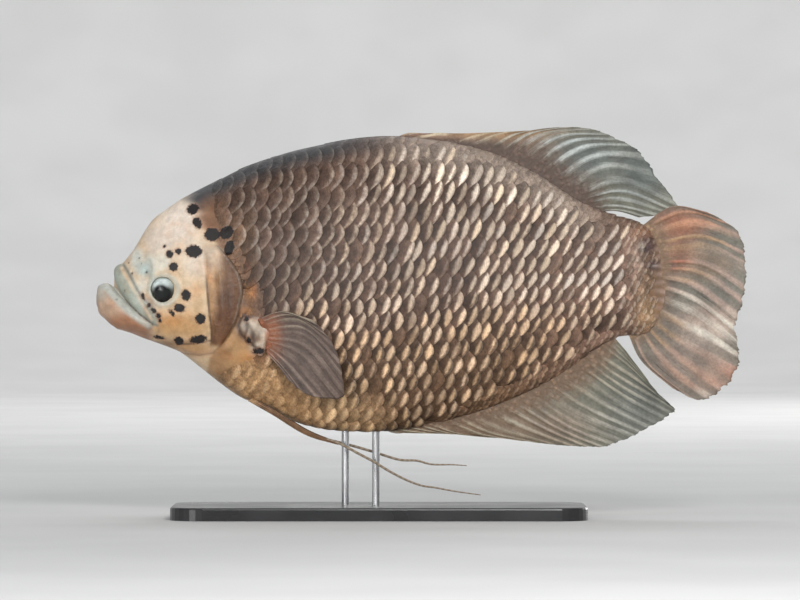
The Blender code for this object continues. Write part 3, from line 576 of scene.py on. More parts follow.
CAUDAL_CREST = (
    (232, 272, 26, 14, "salmon", 1),
    (262, 276, 24, 10, "salmon", 0.8),
    (232, 250, 24, 12, "amber", 0.95),
    (262, 255, 22, 10, "amber", 0.7),
    (228, 234, 18, 8, "ember", 0.9),
    (246, 224, 20, 8, "amber", 0.6),
    (266, 176, 26, 16, "frost", 1),
    (284, 160, 16, 16, "frost", 1),
    (238, 196, 22, 12, "frost", 0.9),
    (222, 172, 18, 16, "amber", 0.8),
    (250, 134, 44, 20, "blush", 0.85),
    (284, 130, 18, 12, "ember", 0.45),
    (262, 112, 20, 8, "frost", 0.40),
    (280, 210, 20, 20, "mauve", 0.7),
    (208, 218, 20, 52, "sheath_low", 0.95),
    (214, 252, 9, 7, "plum", 0.8),
    (218, 232, 11, 4.5, "plum", 0.9),
)
CAUDAL_VALLEY = (
    (232, 268, 30, 16, "rust", 0.8),
    (228, 240, 24, 16, "rust", 0.7),
    (262, 232, 26, 16, "sheath_low", 0.55),
    (248, 138, 46, 32, "umber", 0.80),
    (272, 128, 20, 12, "blush", 0.50),
    (264, 178, 32, 17, "mauve", 0.85),
    (270, 172, 26, 13, "frost", 0.22),
    (208, 218, 26, 54, "sheath", 0.95),
    (214, 252, 9, 7, "plum", 0.9),
    (218, 232, 12, 5, "plum", 0.9),
)
PECTORAL_CREST = (
    (-112, 194, 30, 7, "sand", 1),
    (-112, 181, 24, 7, "sand", 0.55),
    (-138, 172, 9, 14, "blush", 0.9),
    (-134, 152, 9, 10, "blush", 0.7),
)
PECTORAL_VALLEY = (
    (-138, 168, 10, 20, "rust", 0.9),
)
PELVIC_CREST = ((-150, 104, 12, 8, "jowl", 0.8),)
PELVIC_VALLEY = ((-146, 103, 14, 4, "plum", 0.6),)

# Fins: thick is their thickness at the root, folds are the depth of the folds and the height
# of the rays, split is where the rays divide, notch is the depth of the worn edge, and cover
# is the share of the scaly root.
UPRIGHT_FINS = {
    "dorsal": {"rays": DORSAL_RAYS, "count": 16, "thick": 4.4, "folds": (1.10, 0.25),
               "seed": 21, "split": 0.4, "notch": 0.032, "crest": ("pewter", DORSAL_CREST),
               "valley": ("moss", DORSAL_VALLEY), "root": "sheath", "cover": 0.42,
               "slot": "fin"},
    "anal": {"rays": ANAL_RAYS, "count": 24, "thick": 4.4, "folds": (1.00, 0.25),
             "seed": 22, "split": 0.4, "notch": 0.026, "crest": ("khaki", ANAL_CREST),
             "valley": ("moss", ANAL_VALLEY), "root": "sheath_low", "cover": 0.36,
             "slot": "fin"},
    "caudal": {"rays": CAUDAL_RAYS, "count": 15, "thick": 4.4, "folds": (1.10, 0.30),
               "seed": 23, "split": 0.3, "notch": 0.035, "crest": ("mauve", CAUDAL_CREST),
               "valley": ("lichen", CAUDAL_VALLEY), "root": "amber_low", "cover": 0.28,
               "slot": "tail_fin"},
}
PAIRED_FINS = {
    "pectoral": {"rays": PECTORAL_RAYS, "count": 10, "thick": 3.0, "folds": (0.75, 0.25),
                 "seed": 31, "split": 0.5, "notch": 0.015, "crest": ("umber", PECTORAL_CREST),
                 "valley": ("dusky", PECTORAL_VALLEY), "root": "rust", "cover": 0.12,
                 "slot": "pectoral_fin"},
    "pelvic": {"rays": PELVIC_RAYS, "count": 3, "thick": 3.6, "folds": (0.05, 0.12),
               "seed": 33, "split": 0.4, "notch": 0.0, "crest": ("low", PELVIC_CREST),
               "valley": ("throat", PELVIC_VALLEY), "root": "belly", "cover": 0.12,
               "slot": "pelvic_fin"},
}

# The studio cove in metres.
COVE_RADIUS = 9.5
COVE_TURN = 2.6
COVE_HEIGHT = 6.5
COVE_SIDES = 96
COVE_STEPS = 12

# Lamps in metres: name, place, target, size and power as a share of the key lamp's.
LAMPS = (
    ("key", (0.5, -2.6, 1.2), (-0.02, 0.0, 0.20), 0.6, 1.0),
    ("top", (-0.1, 0.3, 2.0), (0.0, 0.0, 0.20), 0.9, 0.06),
    ("front", (-3.4, -4.9, 0.85), (-0.05, 0.0, 0.18), 2.1, 3.2),
    ("rear", (3.0, 5.0, 1.2), (0.0, 0.0, 0.18), 2.1, 2.2),
    ("wall", (0.0, 4.6, 5.6), (0.0, 8.0, 0.6), 5.0, 6.0),
)

# Width of the picture and length of the fish in it, in pixels, and that length in metres.
PICTURE_PIXELS = 800.0
FISH_PIXELS = 653.6
FISH_LENGTH = 0.600

# Width and centre, as x and height, of what the camera shows, in metres.
PICTURE_WIDTH = PICTURE_PIXELS * FISH_LENGTH / FISH_PIXELS
PICTURE_CENTRE = (-0.0209, 0.2001)
SENSOR_WIDTH = 36.0


def curve_through(knots, values, at):
    """Smooth cubic curve through the knots, its slopes taken from the neighbours."""
    knots = np.asarray(knots, dtype=float)
    values = np.asarray(values, dtype=float)
    at = np.clip(np.asarray(at, dtype=float), knots[0], knots[-1])
    step = np.diff(knots)
    rise = np.diff(values) / step
    slope = np.empty(len(knots))
    slope[0] = rise[0]
    slope[-1] = rise[-1]
    slope[1:-1] = (rise[:-1] * step[1:] + rise[1:] * step[:-1]) / (step[:-1] + step[1:])
    place = np.clip(np.searchsorted(knots, at) - 1, 0, len(knots) - 2)
    t = (at - knots[place]) / step[place]
    start = (2.0 * t ** 3 - 3.0 * t ** 2 + 1.0) * values[place]
    start += (t ** 3 - 2.0 * t ** 2 + t) * step[place] * slope[place]
    end = (3.0 * t ** 2 - 2.0 * t ** 3) * values[place + 1]
    end += (t ** 3 - t ** 2) * step[place] * slope[place + 1]
    return start + end


def along_line(line, at):
    """Value at a place along a named line of pairs."""
    pairs = np.array(line)
    return curve_through(pairs[:, 0], pairs[:, 1], at)


def ease(low, high, value):
    """Smooth step from 0 at the low value to 1 at the high one."""
    t = np.clip((value - low) / (high - low), 0.0, 1.0)
    return t * t * (3.0 - 2.0 * t)


def bump(value, middle, width):
    """Bell curve of height 1."""
    return np.exp(-((value - middle) / width) ** 2)


def soft_min(a, b, blend):
    """Smooth union of two fields over a blending width."""
    h = np.clip(0.5 + 0.5 * (b - a) / blend, 0.0, 1.0)
    return b + (a - b) * h - blend * h * (1.0 - h)


def body_section(x):
    """Top, bottom, half width, widest height and the two roundnesses at x."""
    return [curve_through(BODY_STATIONS[:, 0], BODY_STATIONS[:, column], x)
            for column in range(1, 7)]


def body_half_width(x, z):
    """Half width of the body at x and height z."""
    top, bottom, half, widest, back, belly = body_section(x)
    above = z >= widest
    share = np.where(above, (z - widest) / (top - widest), (widest - z) / (widest - bottom))
    power = np.where(above, back, belly)
    return half * np.clip(1.0 - share * share, 0.0, 1.0) ** (0.5 * power)


def section_level(y, z, top, bottom, half, widest, back, belly):
    """Level of a point in a rounded section: 0 on the skin and -1 in its middle."""
    above = z > widest
    share = np.where(above, (z - widest) / (top - widest), (widest - z) / (widest - bottom))
    power = np.where(above, back, belly)
    return np.sqrt((y / half) ** (2.0 / power) + share * share) - 1.0


def as_distance(level, x, y, z):
    """Scale a level so that it reads as a distance near its zero."""
    parts = np.gradient(level, x, y, z)
    steep = np.sqrt(parts[0] ** 2 + parts[1] ** 2 + parts[2] ** 2)
    return np.clip(level / np.maximum(steep, 0.002), -12.0, 12.0)


def refined(path, count):
    """Evenly many points on a smooth curve through a path's points."""
    path = np.array(path)
    knots = np.arange(len(path))
    at = np.linspace(0.0, len(path) - 1.0, count)
    return np.stack([curve_through(knots, path[:, k], at) for k in range(path.shape[1])], 1)


def tube_field(x, y, z, path):
    """Distance to a tube of changing radius along a path."""
    best = None
    for start, end in zip(path[:-1], path[1:]):
        run = end[:3] - start[:3]
        length = float(run @ run)
        dx, dy, dz = x - start[0], y - start[1], z - start[2]
        t = np.clip((dx * run[0] + dy * run[1] + dz * run[2]) / length, 0.0, 1.0)
        gap = np.sqrt((dx - t * run[0]) ** 2 + (dy - t * run[1]) ** 2 + (dz - t * run[2]) ** 2)
        gap = gap - (start[3] + t * (end[3] - start[3]))
        best = gap if best is None else np.minimum(best, gap)
    return best


def ball_field(x, y, z, centre, radii, tilt=0.0):
    """Distance to an ellipsoid turned about Y, near enough at its skin."""
    turn = math.radians(tilt)
    dx, dy, dz = x - centre[0], y - centre[1], z - centre[2]
    u = dx * math.cos(turn) - dz * math.sin(turn)
    w = dx * math.sin(turn) + dz * math.cos(turn)
    reach = np.sqrt((u / radii[0]) ** 2 + (dy / radii[1]) ** 2 + (w / radii[2]) ** 2)
    return (reach - 1.0) * min(radii)


def line_distance(x, z, line):
    """Distance in the side view to a line of points."""
    best = None
    points = np.array(line, dtype=float)
    for start, end in zip(points[:-1], points[1:]):
        run = end - start
        t = np.clip(((x - start[0]) * run[0] + (z - start[1]) * run[1]) / (run @ run), 0.0, 1.0)
        gap = np.hypot(x - start[0] - t * run[0], z - start[1] - t * run[1])
        best = gap if best is None else np.minimum(best, gap)
    return best


def gill_share(x, z):
    """Place across the gill cover, 0 at the cheek's edge and 1 at the free edge."""
    front = along_line(CHEEK_EDGE, z)
    rear = along_line(GILL_EDGE, z)
    return (x - front) / (rear - front), x - rear


def gill_relief(x, z):
    """Swelling and ribs of the gill cover and the grooves along its edges."""
    share, past = gill_share(x, z)
    before = x - along_line(CHEEK_EDGE, z)
    inside = ease(GILL_BOTTOM - 1.5, GILL_BOTTOM + 3.0, z) * ease(GILL_TOP + 2.0, GILL_TOP - 5.0, z)
    ribs = np.sin(before * 0.55) * ease(0.05, 0.3, share) * ease(-2.0, -8.0, past)
    relief = 2.6 * ease(0.0, 0.55, share) * ease(0.8, -0.4, past) * inside
    relief += 0.35 * ribs * inside
    relief -= 1.2 * ease(-0.3, 0.3, past) * bump(past, 0.5, 5.0) * inside
    height = ease(158.0, 170.0, z) * ease(250.0, 232.0, z)
    relief += 0.9 * bump(np.minimum(before, 0.0), 0.0, 9.0) * ease(0.5, -0.5, before) * height
    relief -= 0.9 * bump(before, 0.6, 0.9) * height
    shoulder = bump(line_distance(x, z, SHOULDER_LINE), 3.5, 3.0)
    return relief + 1.2 * shoulder * ease(-1.0, 2.0, past)


def head_relief(x, z):
    """Raised and sunk forms of the head seen from the side, in millimetres."""
    relief = gill_relief(x, z)
    from_eye = np.hypot(x - EYE_CENTRE[0], (z - EYE_CENTRE[2]) * 0.94)
    relief += EYE_RING[2] * bump(from_eye, EYE_RING[0], EYE_RING[1])
    relief -= EYE_GROOVE[2] * bump(from_eye, EYE_GROOVE[0], EYE_GROOVE[1])
    relief += 1.5 * bump(line_distance(x, z, NASAL_FLAP), 0.0, 1.7)
    relief -= 0.8 * bump(np.hypot(x - NASAL_PIT[0], (z - NASAL_PIT[1]) * 0.8), 0.0, 4.5)
    folds = [(JAW_LINE, 0.8, 0.8), (THROAT_LINE, 0.7, 0.9)]
    folds += [(line, depth, 0.9) for line, depth in WRINKLES]
    folds += [(line, 1.2, 1.6) for line, _ in ROOT_FOLDS]
    for line, depth, width in folds:
        relief -= depth * bump(line_distance(x, z, line), 0.0, width)
    return relief


def lip_ridge_relief(x, z):
    """Ridge down the middle of the upper lip and the crease behind it."""
    relief = 1.3 * bump(line_distance(x, z, LIP_RIDGE), 0.0, 1.7)
    return relief - 1.0 * bump(line_distance(x, z, LIP_CREASE), 0.0, 1.1)


def grid_axes(settings):
    """Grid lines of the skin, fine over the head and coarser along the flank."""
    fine = settings.head_step / MM
    coarse = settings.flank_step / MM
    snout, gills, root, end = GRID_X
    x = np.concatenate((np.arange(snout, gills, fine), np.arange(gills, root, coarse),
                        np.arange(root, end, fine)))
    y = (np.arange(int(GRID_HALF_WIDTH / fine)) + 0.5) * fine
    z = np.arange(*GRID_Z, fine)
    return x, y, z


def skin_field(x, y, z):
    """Signed distance to the skin on a half grid, negative inside."""
    gx, gy, gz = x[:, None, None], y[None, :, None], z[None, None, :]
    section = [part[:, None, None] for part in body_section(x)]
    field = as_distance(section_level(gy, gz, *section), x, y, z)
    field = np.maximum(field, BODY_STATIONS[0, 0] - gx)
    field = np.maximum(field, gx - BODY_STATIONS[-1, 0])
    side = np.stack(np.broadcast_arrays(x[:, None], z[None, :]))
    relief = head_relief(*side) * ease(-150.0, -156.0, side[0])
    start = along_line(SCALE_EDGE, side[1])
    relief -= COAT_DEPTH * ease(-7.0, 3.0, side[0] - start) * ease(0.0, 6.0, gill_share(*side)[1])
    share = 0.25 + 0.75 * ease(4.0, 14.0, gy)
    field = field - relief[:, None, :] * share
    front = x < MOUTH_END
    field[front] = with_mouth(field[front], x[front], y, z, share)
    return with_hollows(field, gx, gy, gz)


def with_mouth(core, x, y, z, share):
    """Join the lips and the lower jaw to the field of the head."""
    gx, gy, gz = x[:, None, None], y[None, :, None], z[None, None, :]
    side = np.stack(np.broadcast_arrays(x[:, None], z[None, :]))
    upper = tube_field(gx, gy, gz, refined(UPPER_LIP, LIP_POINTS))
    upper = upper - lip_ridge_relief(*side)[:, None, :] * share
    top, bottom, half = [curve_through(JAW_STATIONS[:, 0], JAW_STATIONS[:, k], x)[:, None, None]
                         for k in (1, 2, 3)]
    middle = 0.55 * top + 0.45 * bottom
    jaw = as_distance(section_level(gy, gz, top, bottom, half, middle, 0.8, 0.8), x, y, z)
    jaw = np.maximum(jaw, np.maximum(JAW_STATIONS[0, 0] - gx, gx - JAW_STATIONS[-1, 0]))
    jaw = soft_min(jaw, tube_field(gx, gy, gz, refined(LOWER_LIP, LIP_POINTS)), 3.5)
    core = soft_min(core, upper, 1.2)
    return soft_min(core, jaw, 0.7 + 6.0 * ease(182.0, 172.0, gz))


def with_hollows(field, gx, gy, gz):
    """Sink the orbits and nostrils and raise the pectoral fin's root."""
    reach = EYE_RADIUS + 0.4
    eye = ball_field(gx, gy, gz, EYE_CENTRE, (reach, reach, reach + 0.5))
    field = -soft_min(-field, eye, 1.2)
    for x, z, radius in NOSTRILS:
        depth = float(body_half_width(np.array(x), np.array(z)))
        hole = ball_field(gx, gy, gz, (x, depth, z), (radius, 3.0, radius))
        field = -soft_min(-field, hole, 0.8)
    for centre, radii, tilt in PECTORAL_ROOT:
        field = soft_min(field, ball_field(gx, gy, gz, centre, radii, tilt), 3.0)
    return field


def surface_net(field, x, y, z):
    """Points and quads of the zero level of a field on a grid."""
    inside = field < 0.0
    axes = (x, y, z)
    cells = np.array(field.shape) - 1
    keys, spots, quads, flips = [], [], [], []
    for axis in range(3):
        first = [slice(None)] * 3
        second = [slice(None)] * 3
        first[axis] = slice(None, -1)
        second[axis] = slice(1, None)
        crossed = inside[tuple(first)] != inside[tuple(second)]
        at = np.argwhere(crossed)
        others = [k for k in range(3) if k != axis]
        for k in others:
            at = at[(at[:, k] > 0) & (at[:, k] < cells[k])]
        far = at.copy()
        far[:, axis] += 1
        near_value = field[tuple(at.T)]
        far_value = field[tuple(far.T)]
        t = near_value / (near_value - far_value)
        point = np.stack([axes[k][at[:, k]] for k in range(3)], 1).astype(float)
        point[:, axis] += t * (axes[axis][far[:, axis]] - axes[axis][at[:, axis]])
        ring = []
        for da, db in ((-1, -1), (0, -1), (0, 0), (-1, 0)):
            cell = at.copy()
            cell[:, others[0]] += da
            cell[:, others[1]] += db
            ring.append((cell[:, 0] * cells[1] + cell[:, 1]) * cells[2] + cell[:, 2])
        ring = np.stack(ring, 1)
        keys.append(ring.ravel())
        spots.append(np.repeat(point, 4, axis=0))
        flip = inside[tuple(at.T)]
        if axis == 1:
            flip = ~flip
        ring[~flip] = ring[~flip][:, ::-1]
        quads.append(ring)
    keys = np.concatenate(keys)
    spots = np.concatenate(spots)
    quads = np.concatenate(quads)
    unique, inverse = np.unique(keys, return_inverse=True)
    count = np.bincount(inverse, minlength=len(unique))
    points = np.stack([np.bincount(inverse, weights=spots[:, k]) / count for k in range(3)], 1)
    return points, np.searchsorted(unique, quads)


def smoothed(points, quads, rounds, weight):
    """Even out small steps by moving each point towards its neighbours."""
    edges = np.concatenate([quads[:, (k, (k + 1) % 4)] for k in range(4)])
    count = np.bincount(edges[:, 0], minlength=len(points))[:, None]
    for _ in range(rounds):
        total = np.stack([np.bincount(edges[:, 0], weights=points[edges[:, 1], k],
                                      minlength=len(points)) for k in range(3)], 1)
        points = points + weight * (total / count - points)
    return points


def make_mesh(name, points, faces):
    """Mesh from points in millimetres and faces with equal numbers of corners."""
    mesh = bpy.data.meshes.new(name)
    corners = faces.shape[1]
    mesh.vertices.add(len(points))
    mesh.vertices.foreach_set("co", (points * MM).astype(np.float32).ravel())
    mesh.loops.add(faces.size)
    mesh.loops.foreach_set("vertex_index", faces.astype(np.int32).ravel())
    mesh.polygons.add(len(faces))
    mesh.polygons.foreach_set("loop_start", np.arange(len(faces), dtype=np.int32) * corners)
    mesh.update(calc_edges=True)
    mesh.validate()
    mesh.polygons.foreach_set("use_smooth", np.ones(len(mesh.polygons), dtype=bool))
    return mesh


def outward(mesh):
    """Turn all faces of a closed mesh outwards."""
    work = bmesh.new()
    work.from_mesh(mesh)
    bmesh.ops.recalc_face_normals(work, faces=work.faces)
    work.to_mesh(mesh)
    work.free()


def read_points(mesh):
    """Points of a mesh in millimetres."""
    points = np.empty(len(mesh.vertices) * 3, dtype=np.float32)
    mesh.vertices.foreach_get("co", points)
    return points.reshape(-1, 3).astype(float) / MM


def add_piece(name, mesh, material, replaced=()):
    """Object for a mesh that rides on the frame and stands for the named nodes."""
    piece = bpy.data.objects.new(name, mesh)
    bpy.context.scene.collection.objects.link(piece)
    mesh.materials.append(material)
    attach(piece, "root")
    if replaced:
        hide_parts(*replaced)
    return piece


def set_values(mesh, name, values):
    """Store one number for each point of the mesh."""
    layer = mesh.attributes.new(name, "FLOAT", "POINT")
    layer.data.foreach_set("value", np.asarray(values, dtype=np.float32).ravel())


def set_tones(mesh, name, colours):
    """Store one colour for each point of the mesh."""
    layer = mesh.attributes.new(name, "FLOAT_COLOR", "POINT")
    full = np.ones((len(colours), 4), dtype=np.float32)
    full[:, :3] = colours
    layer.data.foreach_set("color", full.ravel())


def paint(colours, tone, weight):
    """Lay a named tone over the colours."""
    return colours + (np.array(TONES[tone]) - colours) * np.clip(weight, 0.0, 1.0)[:, None]


def layered(colours, layers):
    """Lay named tones over the colours in turn."""
    for tone, weight in layers:
        colours = paint(colours, tone, weight)
    return colours


def soft_patches(colours, x, z, patches):
    """Lay soft round patches of named tones over the colours."""
    for px, pz, rx, rz, tone, share in patches:
        reach = ((x - px) / rx) ** 2 + ((z - pz) / rz) ** 2
        colours = paint(colours, tone, share * np.exp(-reach ** 1.5))
    return colours


def trunk_tones(x, z):
    """Colours of the body behind the head, from the back down to the belly."""
    top, bottom, _, _, _, _ = body_section(x)
    depth = (z - bottom) / (top - bottom)
    colours = layered(np.tile(np.array(TONES["flank"]), (len(x), 1)), (
        ("rear", ease(20.0, 140.0, x)),
        ("low", ease(0.45, 0.15, depth) * ease(170.0, 60.0, x)),
        ("tail", 0.8 * ease(186.0, 206.0, x)),
        ("belly", ease(128.0, 96.0, z + 0.28 * (x + 60.0)) * ease(0.0, -70.0, x)),
        ("breast", ease(165.0, 128.0, z + 0.55 * (x + 150.0)) * ease(-70.0, -120.0, x)),
        ("haze", 0.85 * ease(46.0, 12.0, top - z) * ease(-70.0, 10.0, x) * ease(190.0, 130.0, x)),
        ("slate", (0.10 + 0.85 * ease(0.0, -100.0, x)) * ease(24.0, 6.0, top - z)),
        ("shoulder", ease(-148.0, -158.0, x) * ease(150.0, 172.0, z) * ease(290.0, 262.0, z)),
    ))
    colours = soft_patches(colours, x, z, SHOULDER_PATCHES + TAIL_PATCHES)
    streak = 0.5 + 0.5 * np.sin(0.85 * (z - 0.22 * (x - 210.0) * (z - TAIL_MIDDLE) / 30.0))
    return paint(colours, "mauve", 0.7 * ease(206.0, 222.0, x) * streak)


def gill_tones(colours, x, z):
    """Colours of the gill cover, dark behind and pale at the top."""
    share, past = gill_share(x, z)
    cover = ease(-0.02, 0.06, share) * ease(0.5, -0.5, past)
    cover *= ease(GILL_BOTTOM - 2.0, GILL_BOTTOM + 4.0, z) * ease(GILL_TOP + 3.0, GILL_TOP - 4.0, z)
    pale = ease(0.75, 0.35, share - 0.018 * (z - 228.0)) * ease(216.0, 238.0, z)
    cloud = bump(np.hypot(x + 180.0, 0.5 * (z - 204.0)), 0.0, 9.0)
    return layered(colours, (
        ("jowl", 0.8 * cover),
        ("gill", cover * ease(0.05, 0.75, share + 0.010 * (215.0 - z))),
        ("gill_pale", cover * pale),
        ("gill_dark", 0.75 * cover * cloud),
        ("gill_edge", 0.6 * cover * ease(-2.4, -1.2, past) * ease(170.0, 190.0, z)),
    ))


def skin_tones(x, z):
    """Colour of the fish at a place, the dark ground tone of the scales included."""
    colours = trunk_tones(x, z)
    wavy = 2.0 * np.sin(0.33 * z) + 1.5 * np.sin(0.71 * z + 1.0)
    soft = 3.0 + 4.0 * ease(246.0, 262.0, z) + 7.0 * ease(276.0, 304.0, z)
    head = ease(soft, -soft, x - along_line(HEAD_EDGE, z) + wavy * ease(240.0, 256.0, z))
    face = soft_patches(paint(colours, "cheek", head), x, z, HEAD_PATCHES)
    colours = gill_tones(colours + (face - colours) * head[:, None], x, z)
    from_eye = np.hypot(x - EYE_CENTRE[0], z - EYE_CENTRE[2])
    return paint(colours, "nasal", 0.55 * bump(from_eye, 12.4, 2.6))


def face_tones(x, z):
    """Pale tone of the scales' raised faces at a place."""
    top, bottom, _, _, _, _ = body_section(x)
    depth = (z - bottom) / (top - bottom)
    return layered(np.tile(np.array(TONES["pale_mid"]), (len(x), 1)), (
        ("pale_rear", ease(20.0, 130.0, x)),
        ("pale_low", ease(0.52, 0.25, depth) * ease(200.0, 100.0, x)),
        ("pale_front", ease(-40.0, -120.0, x - 0.6 * (z - 250.0)) * ease(160.0, 210.0, z)),
        ("pale_belly", ease(135.0, 105.0, z + 0.3 * (x + 80.0)) * ease(40.0, -60.0, x)),
        # Painted light from above on the faces of the upper flank's scales.
        ("pale_top_light", ease(255.0, 320.0, z) * ease(-60.0, 10.0, x)),
        ("slate", (0.10 + 0.70 * ease(0.0, -100.0, x)) * ease(22.0, 7.0, top - z)),
    ))


def lower_band_top(x):
    """Height of the lower lip's inner edge at x."""
    path = np.array(LOWER_LIP)
    return curve_through(path[:, 0], path[:, 2] + path[:, 3], x)


def paint_mouth(tones, x, y, z):
    """Lips and chin: a pale band on each lip, partly a painted highlight on the lower one, a painted
    highlight along the upper lip's ridge, pink and rust on the jaw.
    """
    upper = tube_field(x, y, z, refined(UPPER_LIP, LIP_POINTS))
    lower = tube_field(x, y, z, refined(LOWER_LIP, LIP_POINTS))
    jaw = ease(-242.0, -252.0, x) * ease(212.0, 206.0, z + 0.35 * (x + 270.0))
    jaw *= ease(-1.5, 1.0, upper - 0.8)
    low = ease(-246.0, -256.0, x) * ease(194.0, 182.0, z - 0.25 * (x + 270.0)) * ease(150.0, 158.0, z)
    # The lower lip's pale inner band is partly its own pale tone and partly a painted highlight along
    # its upper edge.
    band = ease(3.4, 0.2, lower) * jaw * ease(-10.0, -4.5, z - lower_band_top(x))
    jaw_tip = bump(np.hypot(x + 295.0, z - 206.0), 0.0, 7.0)
    behind = bump(line_distance(x, z, LIP_CREASE), 0.0, 2.4) * ease(-240.0, -246.0, x)
    # Painted highlight along the ridge of the upper lip, laid on below in frost.
    crest = bump(line_distance(x, z, LIP_RIDGE), 0.0, 1.1) * ease(1.4, 0.2, upper)
    return layered(tones, (
        ("blush", 0.75 * jaw),
        ("chin", low * jaw),
        ("lip_low", np.maximum(band, 0.7 * jaw * jaw_tip)),
        ("lip", ease(1.4, 0.2, upper) * ease(-238.0, -246.0, x)),
        ("nasal", 0.75 * behind),
        ("frost", 0.8 * crest),
    ))


def skin_crease_shade(x, y, z):
    """Painted shade in the lines where the skin folds: mouth, cheek edge, gill slit, throat,
    wrinkles, pectoral root and round the eye; the pores' dark is partly their own colour and partly
    painted shade.
    """
    _, past = gill_share(x, z)
    front = along_line(CHEEK_EDGE, z)
    height = ease(158.0, 166.0, z) * ease(228.0, 212.0, z)
    dark = 0.90 * bump(x - front, 0.9, 1.0) * height
    dark += 0.60 * bump(past, 0.9, 0.9) * ease(160.0, 170.0, z) * ease(246.0, 236.0, z)
    dark += 0.70 * bump(line_distance(x, z, JAW_LINE), 0.0, 0.8)
    dark += 0.35 * bump(line_distance(x, z, THROAT_LINE), 0.0, 0.8)
    dark += 0.62 * bump(line_distance(x, z, LIP_CREASE), 0.0, 1.3) * ease(-238.0, -244.0, x)
    for line, depth in WRINKLES:
        dark += 0.30 * depth * bump(line_distance(x, z, line), 0.0, 0.7)
    for line, darkness in ROOT_FOLDS:
        dark += darkness * bump(line_distance(x, z, line), 0.0, 1.9) * ease(15.0, 25.0, np.abs(y))
    for pore_x, pore_z, radius in PORES:
        dark += 1.1 * bump(np.hypot(x - pore_x, z - pore_z), 0.0, radius)
    upper = tube_field(x, np.abs(y), z, refined(UPPER_LIP, LIP_POINTS))
    lower = tube_field(x, np.abs(y), z, refined(LOWER_LIP, LIP_POINTS))
    dark += 0.9 * bump(upper, 0.3, 1.0) * bump(lower, 0.3, 1.5)
    eye = np.sqrt((x - EYE_CENTRE[0]) ** 2 + (np.abs(y) - EYE_CENTRE[1]) ** 2
                  + (z - EYE_CENTRE[2]) ** 2)
    dark += 0.3 * ease(13.9, 13.2, eye)
    return np.clip(dark, 0.0, 1.0)


def gill_mask(x, z):
    """Share of a place that belongs to the dark part of the gill cover."""
    share, past = gill_share(x, z)
    cover = ease(0.0, 0.10, share) * ease(0.5, -0.5, past)
    return cover * ease(GILL_BOTTOM - 2.0, GILL_BOTTOM + 4.0, z) * ease(248.0, 232.0, z)


def blotch_distance(x, z, side):
    """Distance to the nearest black blotch, negative inside one."""
    chance = np.random.default_rng(BLOTCH_SEED)
    best = np.full(len(x), 30.0)
    for bx, bz, rx, rz, turn in BLOTCHES:
        shift = chance.uniform(-5.0, 5.0, 2)
        if side > 0.0:
            bx, bz = bx + shift[0], bz + shift[1]
        angle = math.radians(turn)
        u = (x - bx) * math.cos(angle) + (z - bz) * math.sin(angle)
        w = -(x - bx) * math.sin(angle) + (z - bz) * math.cos(angle)
        best = np.minimum(best, (np.hypot(u / rx, w / rz) - 1.08) * min(rx, rz))
    return best


def blotches_both(x, y, z):
    """Blotch distance on both flanks, far off near the middle plane."""
    left = blotch_distance(x, z, -1.0)
    right = blotch_distance(x, z, 1.0)
    return np.where(y < 0.0, left, right) + 4.0 * ease(9.0, 5.0, np.abs(y))


